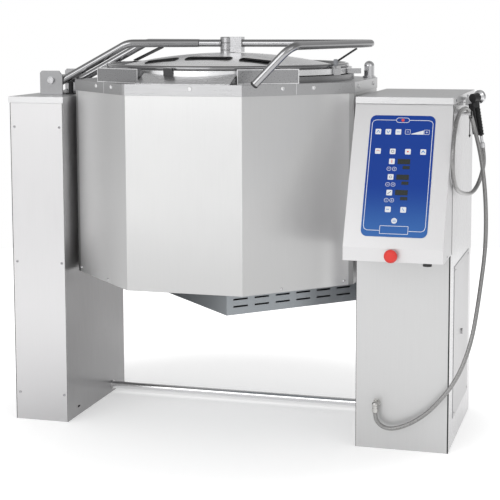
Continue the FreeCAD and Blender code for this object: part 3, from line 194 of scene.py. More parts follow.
def surface(name, colour, metallic, roughness, grain=(300, 300, 300), lathe=False, tone=0.05,
            rough_tone=0.06, bump=0.05, cloud=2.5, edge=0.0008, coat=0.0, gloss=0.5, paint=None):
    """A procedural material: fine grain and soft clouding in its colour and roughness, and a fine bump."""
    material = bpy.data.materials.new(name)
    material.use_nodes = True
    tree = material.node_tree
    tree.nodes.clear()
    output = add_node(tree, "ShaderNodeOutputMaterial")
    shader = add_node(tree, "ShaderNodeBsdfPrincipled", sockets={"Metallic": metallic})
    tree.links.new(shader.outputs[0], output.inputs["Surface"])
    shader.inputs["Specular IOR Level"].default_value = gloss
    if coat:
        shader.inputs["Coat Weight"].default_value = coat
        shader.inputs["Coat Roughness"].default_value = COAT_ROUGHNESS
    where = place(tree)
    fine = noise(tree, turned(tree, where, grain) if lathe else scaled(tree, where, grain), 1.0, 4.0, 0.6)
    soft = noise(tree, where, cloud, 3.0)
    dark = tuple(c * (1 - tone) for c in colour)
    light = tuple(min(1.0, c * (1 + tone)) for c in colour)
    base = mixed(tree, mapped(tree, fine, 0, 1), dark, light)
    veil = mixed(tree, mapped(tree, soft, 0, 1), (1 - tone, 1 - tone, 1 - tone * 0.8), (1, 1, 1))
    base = dimmed(tree, base, veil)
    if paint:
        base = paint(tree, where, base, shader)
    tree.links.new(base, shader.inputs["Base Color"])
    rough = maths(tree, "ADD", mapped(tree, fine, roughness - rough_tone, roughness + rough_tone),
                  mapped(tree, soft, -rough_tone * 0.5, rough_tone * 0.5))
    tree.links.new(rough, shader.inputs["Roughness"])
    relief = add_node(tree, "ShaderNodeBump", sockets={"Strength": bump, "Distance": BUMP_DEPTH})
    tree.links.new(fine, relief.inputs["Height"])
    if edge:
        round_edge = add_node(tree, "ShaderNodeBevel", samples=4, sockets={"Radius": edge})
        tree.links.new(round_edge.outputs[0], relief.inputs["Normal"])
    tree.links.new(relief.outputs[0], shader.inputs["Normal"])
    return material


# Mesh helpers.


def joined(groups):
    """Several groups of points and faces as one."""
    points, faces = [], []
    for more_points, more_faces in groups:
        start = len(points)
        points += list(more_points)
        faces += [tuple(index + start for index in face) for face in more_faces]
    return points, faces


def add_piece(name, groups, look, body, smooth=False):
    """A piece made of several groups of points and faces, riding on a body."""
    points, faces = joined(groups)
    mesh = bpy.data.meshes.new(name)
    mesh.from_pydata([tuple(p) for p in points], [], faces)
    mesh.validate()
    work = bmesh.new()
    work.from_mesh(mesh)
    bmesh.ops.remove_doubles(work, verts=work.verts, dist=1e-6)
    bmesh.ops.recalc_face_normals(work, faces=work.faces)
    for face in work.faces:
        face.smooth = smooth
    work.to_mesh(mesh)
    work.free()
    mesh.materials.append(looks[look])
    piece = bpy.data.objects.new(name, mesh)
    scene.collection.objects.link(piece)
    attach(piece, body)
    return piece


def square_to(axis):
    """An axis of length one, and two directions square to it and to each other."""
    axis = Vector(axis).normalized()
    helper = Vector((0, 0, 1)) if abs(axis.z) < 0.9 else Vector((1, 0, 0))
    u = axis.cross(helper).normalized()
    return axis, u, axis.cross(u)


def lathe_points(profile, centre, axis, sides):
    """Points and faces of a profile of (radius, height) turned about an axis from a centre."""
    axis, u, v = square_to(axis)
    points, faces = [], []
    for radius, height in profile:
        for side in range(sides):
            turn = 2 * math.pi * side / sides
            points.append(Vector(centre) + axis * height + (u * math.cos(turn) + v * math.sin(turn)) * radius)
    for ring in range(len(profile) - 1):
        for side in range(sides):
            after = (side + 1) % sides
            faces.append((ring * sides + side, ring * sides + after,
                          (ring + 1) * sides + after, (ring + 1) * sides + side))
    faces.append(tuple(range(sides)))
    faces.append(tuple(range(len(points) - sides, len(points))))
    return points, faces


SCREW_SIDES = 12


def screws(name, places, radius, look, body):
    """Round screw heads with a recess, each at a place on a face, looking along its normal."""
    head = [(1, -0.0002 / radius), (1, 0.25), (0.86, 0.5), (0.62, 0.62), (0.48, 0.64), (0.42, 0.2)]
    profile = [(across * radius, high * radius) for across, high in head]
    add_piece(name, [lathe_points(profile, point, normal, SCREW_SIDES) for point, normal in places],
              look, body)


def prism(outline, origin, u, v, low, high):
    """Points and faces of a flat outline in (u, v), raised from low to high along the normal."""
    origin, u, v = Vector(origin), Vector(u), Vector(v)
    normal = u.cross(v).normalized()
    points = [origin + u * a + v * b + normal * low for a, b in outline]
    points += [origin + u * a + v * b + normal * high for a, b in outline]
    count = len(outline)
    faces = [tuple(reversed(range(count))), tuple(range(count, count * 2))]
    faces += [(i, (i + 1) % count, count + (i + 1) % count, count + i) for i in range(count)]
    return points, faces


def loop_band(outer, inner, origin, u, v, low, high):
    """Points and faces of the band between two outlines with as many corners."""
    origin, u, v = Vector(origin), Vector(u), Vector(v)
    normal = u.cross(v).normalized()
    points = []
    for outline, height in ((outer, low), (outer, high), (inner, high), (inner, low)):
        points += [origin + u * a + v * b + normal * height for a, b in outline]
    count = len(outer)
    faces = []
    for ring in range(4):
        here, after = ring * count, ((ring + 1) % 4) * count
        for i in range(count):
            j = (i + 1) % count
            faces.append((here + i, here + j, after + j, after + i))
    return points, faces


def rounded(x0, y0, x1, y1, r, steps=6):
    """The outline of a rectangle with round corners."""
    outline = []
    for cx, cy, start in ((x1 - r, y0 + r, -90), (x1 - r, y1 - r, 0), (x0 + r, y1 - r, 90), (x0 + r, y0 + r, 180)):
        for step in range(steps + 1):
            turn = math.radians(start + 90 * step / steps)
            outline.append((cx + r * math.cos(turn), cy + r * math.sin(turn)))
    return outline


def strip_box(low, high):
    """Points and faces of a box from its low corner to its high one."""
    (x0, y0, z0), (x1, y1, z1) = low, high
    return prism([(x0, y0), (x1, y0), (x1, y1), (x0, y1)], (0, 0, 0), (1, 0, 0), (0, 1, 0), z0, z1)


def ring_band(radius, low, high, thickness, sides=96):
    """Points and faces of an upright ring about the Z axis."""
    turns = [2 * math.pi * side / sides for side in range(sides)]
    outer = [(math.cos(turn) * radius, math.sin(turn) * radius) for turn in turns]
    inner = [(a * (1 - thickness / radius), b * (1 - thickness / radius)) for a, b in outer]
    return loop_band(outer, inner, (0, 0, 0), (1, 0, 0), (0, 1, 0), low, high)


make_camera()


# Materials.

BRUSHED_UP = (420, 420, 9)
BRUSHED_ALONG = (9, 420, 420)


# Some paints give a sheet its tones by place. Those tones are painted reflections, painted shade and painted
# highlights, not another finish.
# Where the paints change: heights, widths and radii in metres.
GRIP_FOOT = 0.9467
FEET_RADIUS, FEET_TOP = 0.4046, 1.1655
CLAMP_TURN, CLAMP_HALF_TURN = math.radians(17), 0.1
LATCH_LEFT = 0.38
COLUMN_WALL = -0.482
DIAGONAL_BACK = -0.195
BAND_CORNER = -0.195
ROLL_RADIUS = 0.393


def shower_paint(tree, where, base, shader):
    """The crimped tail under the hand shower's grip is bare metal."""
    _, _, z = axes(tree, where)
    tail = mapped(tree, z, 1.0, 0.0, GRIP_FOOT - 0.0005, GRIP_FOOT + 0.0005)
    tree.links.new(tail, shader.inputs["Metallic"])
    return mixed(tree, tail, base, (0.74, 0.74, 0.75))


def feet_paint(tree, where, base, shader):
    """The legs of the lid's feet are black rubber; the tabs, the latch block and the clamp stay steel."""
    x, y, z = axes(tree, where)
    outside = maths(tree, "GREATER_THAN", from_axis(tree, x, y), FEET_RADIUS)
    below = maths(tree, "LESS_THAN", z, FEET_TOP)
    off_clamp = maths(tree, "ABSOLUTE", maths(tree, "ADD", maths(tree, "ARCTAN2", y, x), CLAMP_TURN))
    clamp = maths(tree, "LESS_THAN", off_clamp, CLAMP_HALF_TURN)
    steel = maths(tree, "MAXIMUM", clamp, maths(tree, "GREATER_THAN", x, LATCH_LEFT))
    rubber = maths(tree, "MULTIPLY", maths(tree, "MULTIPLY", outside, below), maths(tree, "SUBTRACT", 1.0, steel))
    metallic = maths(tree, "SUBTRACT", 0.85, maths(tree, "MULTIPLY", rubber, 0.85))
    tree.links.new(metallic, shader.inputs["Metallic"])
    return mixed(tree, rubber, base, (0.03, 0.03, 0.032))


def membrane_paint(tree, where, base, shader):
    """The membrane's blue is a little paler towards its foot."""
    _, _, z = axes(tree, where)
    foot = mapped(tree, z, 0.85, 0.0, 0.66, 0.84, smooth=True)
    return mixed(tree, foot, base, (0.05, 0.17, 0.46))


def floor_shade_paint(tree, where, base, shader):
    """The panel is painted darker towards the floor: painted shade that stands for the dim floor in its
    reflection.
    """
    _, _, z = axes(tree, where)
    unshaded = mapped(tree, z, 0.60, 1.0, 0.0, 0.42, smooth=True)
    return mixed(tree, unshaded, dimmed(tree, base, (0.52, 0.52, 0.525)), base)


def wall_reflection_paint(tree, where, base, shader):
    """The column's inner wall is painted with reflections: dark as painted shade, and paler near the floor and
    beside the vessel as painted reflected light.
    """
    x, _, z = axes(tree, where)
    low = mapped(tree, z, 1.0, 0.0, 0.0, 0.34, smooth=True)
    high = mapped(tree, z, 0.0, 1.0, 0.46, 0.66, smooth=True)
    wall_reflection_tones = mixed(tree, high, mixed(tree, low, (0.21, 0.206, 0.208), (0.36, 0.356, 0.36)), (0.66, 0.655, 0.66))
    return mixed(tree, maths(tree, "GREATER_THAN", x, COLUMN_WALL), base, wall_reflection_tones)


def casing_shade_and_light_paint(tree, where, base, shader):
    """The vessel's sheet is painted darker towards its lower edge, as painted shade, and brighter beside the
    columns, as painted reflected light.
    """
    x, y, z = axes(tree, where)
    unshaded = mapped(tree, z, 0.0, 1.0, 0.46, 0.80, smooth=True)
    base = mixed(tree, unshaded, dimmed(tree, base, (0.80, 0.80, 0.80)), base)
    left = mapped(tree, x, 1.0, 0.0, -0.455, -0.26, smooth=True)
    right = mapped(tree, x, 0.0, 1.0, 0.36, 0.46, smooth=True)
    front = maths(tree, "LESS_THAN", y, DIAGONAL_BACK)
    lit_beside = maths(tree, "MULTIPLY", maths(tree, "MAXIMUM", left, right), front)
    return mixed(tree, lit_beside, base, (0.93, 0.93, 0.928))


def band_shade_paint(tree, where, base, shader):
    """The band's strips left of its front one are painted darker: painted shade on the faces turned from the
    light.
    """
    x, _, _ = axes(tree, where)
    left = mapped(tree, x, 1.0, 0.0, BAND_CORNER - 0.005, BAND_CORNER + 0.005)
    return mixed(tree, left, base, (0.37, 0.37, 0.375))


def rim_reflection_paint(tree, where, base, shader):
    """The rolled rim outside the bowl is painted darker than the wall inside: a painted reflection."""
    x, y, _ = axes(tree, where)
    roll = mapped(tree, from_axis(tree, x, y), 0.0, 1.0, ROLL_RADIUS - 0.005, ROLL_RADIUS + 0.005, smooth=True)
    return mixed(tree, roll, base, (0.24, 0.24, 0.245))


def lip_highlight_paint(tree, where, base, shader):
    """The folded lips of a cover are painted brighter than its brushed top where they stand upright: a painted
    highlight.
    """
    _, _, up = axes(tree, add_node(tree, "ShaderNodeNewGeometry").outputs["Normal"])
    upright = mapped(tree, maths(tree, "ABSOLUTE", up), 1.0, 0.0, 0.3, 0.7)
    return mixed(tree, upright, base, (0.66, 0.66, 0.665))


looks = {
    "sheet": surface("sheet_steel", (0.72, 0.72, 0.725), 0.85, 0.38, BRUSHED_UP, tone=0.035),
    "front": surface("front_sheet", (0.66, 0.655, 0.66), 0.85, 0.40, BRUSHED_UP, tone=0.016, paint=floor_shade_paint),
    # The right column's front panel: a darker copy of the front sheet, painted shade.
    "front_shaded": surface("column_sheet", (0.58, 0.58, 0.58), 0.85, 0.40, BRUSHED_UP, tone=0.02),
    "casing": surface("casing_sheet", (0.665, 0.665, 0.663), 0.88, 0.38, BRUSHED_UP, tone=0.016,
                      paint=casing_shade_and_light_paint),
    "shell_left": surface("left_shell_sheet", (0.60, 0.595, 0.60), 0.85, 0.34, BRUSHED_UP, tone=0.04,
                          paint=wall_reflection_paint),
    "shell_right": surface("side_sheet", (0.60, 0.595, 0.60), 0.88, 0.27, BRUSHED_UP, tone=0.03),
    "hatch": surface("hatch_sheet", (0.50, 0.495, 0.50), 0.85, 0.36, BRUSHED_UP, tone=0.03),
    "console": surface("console_sheet", (0.69, 0.685, 0.69), 0.80, 0.42, (500, 500, 500), tone=0.02),
    "flat": surface("flat_sheet", (0.53, 0.53, 0.535), 0.88, 0.32, BRUSHED_ALONG, tone=0.03, paint=lip_highlight_paint),
    "band": surface("band_sheet", (0.51, 0.51, 0.515), 0.90, 0.32, BRUSHED_ALONG, tone=0.04, edge=0.0012,
                    paint=band_shade_paint),
    "bracket": surface("bracket_plate", (0.31, 0.31, 0.315), 0.90, 0.34, BRUSHED_UP, tone=0.05, edge=0.0012),
    "guard": surface("guard_plate", (0.34, 0.34, 0.345), 0.92, 0.30, BRUSHED_ALONG, tone=0.06),
    "edge": surface("cut_edge", (0.86, 0.86, 0.865), 0.80, 0.40, (400, 400, 400), tone=0.03, edge=0),
    "drive_box": surface("drive_box_sheet", (0.32, 0.342, 0.358), 0.85, 0.36, BRUSHED_ALONG, tone=0.06),
    "bowl": surface("ground_bowl", (0.60, 0.60, 0.605), 0.94, 0.26, (260, 2, 260), lathe=True, tone=0.05,
                    bump=0.025),
    "rim": surface("rolled_rim", (0.60, 0.60, 0.605), 0.94, 0.26, (260, 2, 260), lathe=True, tone=0.05,
                   bump=0.025, paint=rim_reflection_paint),
    # The dome: a brighter copy of the ground bowl steel, a painted reflection of bright light.
    "dome": surface("lit_ground_dome", (0.88, 0.88, 0.885), 0.86, 0.30, (300, 2, 60), lathe=True, tone=0.04,
                    bump=0.02),
    # The lid's tubes and ring: darker copies of the tube steel, painted shade that stands for dark reflections.
    "tube": surface("shaded_satin_tube", (0.36, 0.36, 0.365), 1.0, 0.14, (260, 260, 260), tone=0.04, bump=0.02),
    "ring": surface("ring_tube", (0.30, 0.30, 0.305), 1.0, 0.10, (260, 260, 260), tone=0.04, bump=0.02),
    "strut": surface("dark_strut", (0.045, 0.045, 0.047), 0.6, 0.36, (260, 260, 260), tone=0.10, bump=0.05),
    "screw": surface("bright_screw", (0.88, 0.88, 0.88), 0.55, 0.40, (400, 400, 400), tone=0.03, bump=0.05,
                     edge=0),
    "polished": surface("polished_steel", (0.62, 0.62, 0.63), 1.0, 0.15, (200, 200, 200), tone=0.03, bump=0.02),
    # The tie tube: a brighter copy of the tube steel, a painted reflection of bright light.
    "bright": surface("lit_bright_tube", (0.78, 0.78, 0.785), 1.0, 0.20, (260, 260, 260), tone=0.03, bump=0.02),
    "hub": surface("turned_hub", (0.42, 0.42, 0.425), 0.97, 0.22, (60, 1, 1500), lathe=True, tone=0.10, bump=0.12),
    "hidden": surface("mill_steel", (0.50, 0.50, 0.51), 0.85, 0.46, (160, 160, 160), tone=0.10, bump=0.15),
    "cast": surface("painted_casting", (0.16, 0.17, 0.18), 0.1, 0.62, (420, 420, 420), tone=0.18, bump=0.5),
    "motor": surface("motor_enamel", (0.10, 0.16, 0.26), 0.0, 0.38, (300, 300, 300), tone=0.08, bump=0.15,
                     coat=0.3),
    "unit": surface("powder_coat", (0.55, 0.56, 0.55), 0.0, 0.55, (700, 700, 700), tone=0.04, bump=0.35),
    "membrane": surface("membrane_blue", (0.0045, 0.046, 0.30), 0.0, 0.45, (900, 900, 900), tone=0.05,
                        bump=0.12, edge=0, gloss=0.2, paint=membrane_paint),
    "red": surface("red_knob", (0.80, 0.045, 0.035), 0.0, 0.36, (500, 500, 500), tone=0.05, bump=0.06),
    "grey": surface("grey_moulding", (0.30, 0.31, 0.33), 0.0, 0.5, (600, 600, 600), tone=0.06, bump=0.12),
    "black": surface("black_moulding", (0.012, 0.012, 0.013), 0.0, 0.46, (600, 600, 600), tone=0.15, bump=0.12),
    "rubber": surface("black_rubber", (0.012, 0.012, 0.013), 0.0, 0.70, (800, 800, 800), tone=0.2, bump=0.3),
    "scraper": surface("white_scraper", (0.82, 0.82, 0.80), 0.0, 0.48, (400, 400, 400), tone=0.04, bump=0.08),
    "nickel": surface("nickel_brass", (0.50, 0.495, 0.48), 1.0, 0.16, (400, 400, 400), tone=0.10, bump=0.05),
    "shower": surface("shower_moulding", (0.014, 0.014, 0.015), 0.0, 0.42, (600, 600, 600), tone=0.15,
                      bump=0.1, paint=shower_paint),
    "feet": surface("feet_and_clamp", (0.50, 0.50, 0.505), 0.85, 0.30, (500, 500, 500), tone=0.04,
                    bump=0.06, paint=feet_paint),
    "print": surface("white_print", (0.80, 0.82, 0.86), 0.0, 0.42, (900, 900, 900), tone=0.03, bump=0.05, edge=0),
    "key": surface("white_key", (0.78, 0.80, 0.83), 0.0, 0.36, (900, 900, 900), tone=0.03, bump=0.05, edge=0.0004),
    "display": surface("display_window", (0.008, 0.014, 0.012), 0.0, 0.22, (300, 300, 300), tone=0.1,
                       bump=0.02, edge=0),
    "lamp_red": surface("red_lamp", (0.75, 0.05, 0.04), 0.0, 0.3, (600, 600, 600), tone=0.05, edge=0, coat=0.4),
    "ink_blue": surface("blue_ink", (0.02, 0.22, 0.62), 0.0, 0.45, (900, 900, 900), tone=0.04, edge=0),
    "ink_dark": surface("dark_ink", (0.04, 0.05, 0.09), 0.0, 0.45, (900, 900, 900), tone=0.06, edge=0),
    "seam": surface("seam_shadow", (0.018, 0.018, 0.019), 0.0, 0.75, (500, 500, 500), tone=0.2, bump=0.2, edge=0),
    "weld": surface("weld_bead", (0.46, 0.45, 0.44), 0.95, 0.30, (700, 700, 700), tone=0.12, bump=0.5, edge=0),
}

SLOT_LOOKS = {
    "steel": "sheet", "casing_steel": "casing", "bowl_steel": "bowl", "tube_steel": "tube",
    "polished_steel": "polished", "hidden_steel": "hidden", "cast": "cast", "motor_paint": "motor",
    "unit_paint": "unit", "membrane": "membrane", "red_plastic": "red", "grey_plastic": "grey",
    "black_plastic": "black", "black_rubber": "rubber", "white_plastic": "scraper",
    "hose_rubber": "grey", "brass_nickel": "nickel",
}
NODE_LOOKS = {
    "left_front_panel": "front", "right_front_panel": "front_shaded", "left_column_shell": "shell_left",
    "right_column_shell": "shell_right", "left_column_cover": "flat", "console_lid": "flat",
    "console_housing": "console", "inspection_hatch": "hatch", "louvred_drive_box": "drive_box",
    "rim_deck": "band", "spout_guards": "guard", "bowl_wall": "rim", "tie_tube": "bright",
    "lid_hinge_bracket": "bracket", "lid_dome": "dome", "lid_hub": "hub", "lid_ring": "ring",
    "lid_struts": "strut", "lid_feet": "feet", "clamp_knob": "grey", "hanging_rod": "strut",
    "shower_body": "shower",
}


def dress_nodes():
    """Gives each node of the part its material, by the node or else by its slot."""
    slots = {part["node"]: part["material_slot"] for part in frame["record"]["subparts"]}
    for name, node in frame["nodes"].items():
        look = looks[NODE_LOOKS.get(name) or SLOT_LOOKS[slots[name]]]
        node.data.materials.clear()
        node.data.materials.append(look)


dress_nodes()


# Hose.


def hose_paint(tree, where, base, shader):
    """A woven reinforcement shows faintly through the hose's clear skin."""
    weave = add_node(tree, "ShaderNodeTexWave", sockets={"Scale": 170.0, "Distortion": 1.5, "Detail": 1.0})
    tree.links.new(where, weave.inputs["Vector"])
    return mixed(tree, mapped(tree, weave.outputs[1], 0.0, 0.35, 0.0, 1.0), base, (0.22, 0.22, 0.22))


def make_hose():
    """The water hose as one smooth curve from the tap to the hand shower."""
    material = surface("hose_skin", (0.30, 0.296, 0.292), 0.55, 0.28, (350, 350, 350), tone=0.06,
                       bump=0.15, edge=0, coat=0.25, paint=hose_paint)
    curve = bpy.data.curves.new("water_hose_line", "CURVE")
    curve.dimensions = "3D"
    spline = curve.splines.new("NURBS")
    spline.points.add(len(HOSE_ROUTE) - 1)
    for point, (x, y, z) in zip(spline.points, HOSE_ROUTE):
        point.co = (x, y, z, 1)
    spline.order_u = 3
    spline.use_endpoint_u = True
    spline.resolution_u = 10
    curve.bevel_depth = HOSE_RADIUS
    curve.bevel_resolution = 5
    curve.use_fill_caps = True
    curve.materials.append(material)
    hose = bpy.data.objects.new("hose_line", curve)
    scene.collection.objects.link(hose)
    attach(hose, "stand")
    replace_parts(hose, "water_hose")


make_hose()


# Membrane panel print.

# The console's slope: PANEL_U runs across it and PANEL_V up. PANEL_TOP is how far the membrane's face stands off.
PANEL_ORIGIN = Vector((0.6255, -0.254, 1.0585))
PANEL_U = Vector((1, 0, 0))
PANEL_V = Vector((0, 0.40813, 0.91292))
PANEL_TOP = 0.00154
# How far print is sunk, and how high print, windows, keys and the signs on them stand.
SUNK, PRINT_HIGH, WINDOW_HIGH, KEY_HIGH, SIGN_HIGH = 0.0001, 0.00012, 0.0004, 0.0005, 0.0008
# The membrane's box across and down the slope in millimetres, and its corners in metres.
MEMBRANE_LEFT, MEMBRANE_RIGHT, MEMBRANE_HEAD, MEMBRANE_FOOT = 528.5, 722.5, 37.3, 410.3
MEMBRANE_CORNER = 0.018
KEY_SIDE, KEY_CORNER = 17, 2.5
# Rows down the slope in millimetres: the windows of the three settings, and the small keys under them.
SETTING_ROWS = (181, 229, 276)
SMALL_KEY_ROWS = (204, 252, 300)


def on_panel(x, s):
    """A spot of the panel from its place across, as world x, and its way down the slope, both in millimetres."""
    return x / 1000 - PANEL_ORIGIN.x, -s / 1000


def panel_shape(outline, high):
    """A flat printed or raised shape on the membrane."""
    return prism(outline, PANEL_ORIGIN, PANEL_U, PANEL_V, PANEL_TOP - SUNK, PANEL_TOP + high)


def panel_line(outer, width, high=PRINT_HIGH):
    """A closed printed line: x0, s0, x1, s1 and corner radius in millimetres."""
    x0, s0, x1, s1, r = outer
    (a0, b0), (a1, b1) = on_panel(x0, s1), on_panel(x1, s0)
    w = width / 1000
    big = rounded(a0, b0, a1, b1, r / 1000)
    small = rounded(a0 + w, b0 + w, a1 - w, b1 - w, max(r / 1000 - w, 0.0002))
    return loop_band(big, small, PANEL_ORIGIN, PANEL_U, PANEL_V, PANEL_TOP - SUNK, PANEL_TOP + high)


def panel_patch(x, s, width, height, r, high):
    """A rounded patch centred at x, s."""
    a, b = on_panel(x, s)
    outline = rounded(a - width / 2000, b - height / 2000, a + width / 2000, b + height / 2000, r / 1000)
    return panel_shape(outline, high)


def panel_bar(points, width, high=PRINT_HIGH):
    """A printed line through points of (x, s)."""
    groups = []
    for (x0, s0), (x1, s1) in zip(points, points[1:]):
        (a0, b0), (a1, b1) = on_panel(x0, s0), on_panel(x1, s1)
        along = Vector((a1 - a0, b1 - b0)).normalized()
        side = Vector((-along.y, along.x)) * (width / 2000)
        outline = [(a0 - side.x, b0 - side.y), (a1 - side.x, b1 - side.y),
                   (a1 + side.x, b1 + side.y), (a0 + side.x, b0 + side.y)]
        groups.append(panel_shape(outline, high))
    return joined(groups)


def panel_key(x, s):
    """A square key centred at x, s."""
    return panel_patch(x, s, KEY_SIDE, KEY_SIDE, KEY_CORNER, KEY_HIGH)


def make_membrane():
    """The membrane panel itself, with its wide round corners."""
    (a0, b0), (a1, b1) = on_panel(MEMBRANE_LEFT, MEMBRANE_FOOT), on_panel(MEMBRANE_RIGHT, MEMBRANE_HEAD)
    outline = rounded(a0, b0, a1, b1, MEMBRANE_CORNER, 10)
    body = prism(outline, PANEL_ORIGIN, PANEL_U, PANEL_V, 0.0001, PANEL_TOP)
    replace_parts(add_piece("panel_membrane", [body], "membrane", "stand"), "membrane_panel")


def make_membrane_print():
    """Border line, keys with plain signs, displays, speed ramp, lamp and the bare plate at the foot."""
    left_border = [(607, 52), (548, 52), (539, 55), (535, 62), (535, 378), (538, 388), (546, 392), (582, 392)]
    right_border = [(645, 52), (703, 52), (712, 55), (716, 62), (716, 378), (713, 388), (705, 392), (668, 392)]
    lines = [
        panel_bar(left_border, 1.6), panel_bar(right_border, 1.6),
        panel_line((606, 44, 646, 60, 8), 1.4), panel_line((583, 377, 667, 402, 2), 1.4),
    ]
    lines += [panel_line((x - 8, 81, x + 8, 96, 2.5), 1.1) for x in (643, 699)]
    lines += [panel_line((x - 6.5, s - 6, x + 6.5, s + 6, 5.5), 1.1) for s in SMALL_KEY_ROWS for x in (596, 612)]
    add_piece("panel_lines", lines, "print", "stand")

    keys = [panel_key(x, 89) for x in (555, 585, 615)]
    keys += [panel_key(x, 150) for x in (559, 603, 648, 693)]
    keys += [panel_key(603, s) for s in (181, 229, 277)]
    keys += [panel_key(x, 328) for x in (603, 648)]
    keys.append(panel_patch(624, 362, KEY_SIDE, KEY_SIDE, 8.4, 0.0006))
    keys.append(panel_shape([on_panel(x, s) for x, s in ((654, 96), (690, 96), (690, 83), (654, 94))], 0.0003))
    add_piece("panel_keys", keys, "key", "stand")

    windows = []
    for s in SETTING_ROWS:
        windows.append(panel_patch(638.5, s, 37, 16, 1.0, WINDOW_HIGH))
        windows.append(panel_patch(646.5, s + 18, 21, 10, 1.0, WINDOW_HIGH))
    add_piece("panel_windows", windows, "display", "stand")
    add_piece("panel_lamps", [panel_patch(626, 52, 9, 9, 4.2, KEY_HIGH)], "lamp_red", "stand")

    blue = [
        ([(550, 93), (555, 85), (560, 93)], 1.5), ([(580, 85), (585, 93), (590, 85)], 1.5),
        ([(610, 89), (620, 89)], 1.5), ([(688, 153), (693, 146), (698, 153)], 2.2),
        ([(598, 328), (606, 328)], 1.6), ([(645, 324), (651, 332)], 1.6),
        ([(619, 360), (629, 360)], 1.2), ([(619, 364), (629, 364)], 1.2),
    ]
    blue = [panel_bar(points, width, SIGN_HIGH) for points, width in blue]
    add_piece("panel_signs_blue", blue, "ink_blue", "stand")
    red = [
        panel_bar([(603, 176), (603, 186)], 2.0, SIGN_HIGH),
        panel_bar([(554, 150), (559, 147), (564, 150)], 1.4, SIGN_HIGH),
        panel_patch(648, 150, 5, 5, 2.4, SIGN_HIGH),
    ]
    add_piece("panel_signs_red", red, "lamp_red", "stand")
    dark = [
        panel_line((599, 225, 607, 233, 4), 1.0, SIGN_HIGH), panel_bar([(598, 281), (608, 273)], 1.4, SIGN_HIGH),
        panel_line((599, 146, 607, 154, 2), 1.0, SIGN_HIGH),
    ]
    add_piece("panel_signs_dark", dark, "ink_dark", "stand")
    minus_plus = [panel_bar([(640, 88.5), (646, 88.5)], 1.2), panel_bar([(696, 88.5), (702, 88.5)], 1.2),
                  panel_bar([(699, 85.5), (699, 91.5)], 1.2)]
    for s in SMALL_KEY_ROWS:
        minus_plus.append(panel_bar([(593.5, s), (598.5, s)], 1.0))
        minus_plus.append(panel_bar([(609.5, s), (614.5, s)], 1.0))
        minus_plus.append(panel_bar([(612, s - 2.5), (612, s + 2.5)], 1.0))
    add_piece("panel_signs_white", minus_plus, "print", "stand")


make_membrane()
make_membrane_print()


# Fasteners, seams and trim.

HALF = math.sqrt(0.5)
LEFT_FACE, RIGHT_FACE = (-HALF, -HALF, 0), (HALF, -HALF, 0)
FRONT, BACK, RIGHT, LEFT, UP = (0, -1, 0), (0, 1, 0), (1, 0, 0), (-1, 0, 0), (0, 0, 1)
COLUMN_FRONT, COLUMN_BACK = -0.254, 0.254


def opposite_too(places):
    """The places and those opposite them through the Z axis."""
    return places + [((-x, -y, z), (-a, -b, 0)) for (x, y, z), (a, b, _) in places]


# Screw heads, each by its place and the way its face looks.
BAND_SCREWS = opposite_too([
    ((-0.335, -0.309, 1.1065), LEFT_FACE), ((-0.252, -0.392, 1.107), LEFT_FACE), ((0.024, -0.461, 1.107), FRONT),
    ((0.281, -0.363, 1.106), RIGHT_FACE), ((0.357, -0.287, 1.1055), RIGHT_FACE),
    ((0.461, -0.123, 1.104), RIGHT), ((0.461, 0.113, 1.103), RIGHT)])
CASING_SCREWS = opposite_too([
    ((-0.4416, -0.1996, 0.508), LEFT_FACE), ((-0.2866, -0.3546, 0.503), LEFT_FACE),
    ((0.2766, -0.3646, 0.503), RIGHT_FACE), ((0.4346, -0.2066, 0.507), RIGHT_FACE)])
LEFT_PANEL_SCREWS = [((x, COLUMN_FRONT, z), FRONT) for x in (-0.645, -0.488) for z in (0.968, 0.527, 0.090)]
LID_LIP_SCREWS = [((0.772, y, 1.0675), RIGHT) for y in (-0.194, 0.077)]
RIGHT_PANEL_SCREWS = [
    ((0.772, -0.356, 0.6195), RIGHT), ((0.7695, -0.142, 0.545), RIGHT), ((0.7695, 0.172, 0.545), RIGHT),
    ((0.7695, -0.142, 0.096), RIGHT), ((0.7695, 0.172, 0.096), RIGHT)]
COVER_SCREWS = [((-0.663, y, 1.056), LEFT) for y in (-0.19, 0.19)]
COVER_SCREWS += [((x, COLUMN_BACK, z), BACK) for x in (-0.645, -0.490, 0.497, 0.754) for z in (0.05, 0.55, 1.02)]
BRACKET_BOLTS = [((x, y, 1.071), UP) for x in (-0.605, -0.555) for y in (-0.075, -0.025, 0.025, 0.075)]


def make_fasteners():
    """Screw heads on the band, the casing, the panels and the covers, and the bracket's bolts."""
    screws("band_screws", BAND_SCREWS, 0.0062, "screw", "vessel")
    screws("casing_screws", CASING_SCREWS, 0.0042, "polished", "vessel")
    screws("left_panel_screws", LEFT_PANEL_SCREWS, 0.0042, "hub", "stand")
    screws("lid_lip_screws", LID_LIP_SCREWS, 0.0036, "cast", "stand")
    screws("right_panel_screws", RIGHT_PANEL_SCREWS, 0.0036, "polished", "stand")
    screws("cover_screws", COVER_SCREWS, 0.0036, "polished", "stand")
    screws("bracket_bolts", BRACKET_BOLTS, 0.0065, "polished", "stand")


# Dark joint lines of the columns' panels, as boxes from their low corners to their high ones.
PANEL_SEAMS = [
    ((-0.6595, -0.2543, 0.0), (-0.6575, -0.2539, 1.046)), ((-0.4775, -0.2543, 0.0), (-0.4762, -0.2539, 1.046)),
    ((0.7645, -0.2545, 0.0), (0.7684, -0.2520, 0.6125)), ((0.4830, -0.2543, 0.0), (0.4842, -0.2539, 0.6125)),
    ((0.7715, -0.2590, 0.6125), (0.7725, -0.2535, 1.0580)),
]
COLUMN_SIDE, SEAM_HIGH = 0.768, 0.0004


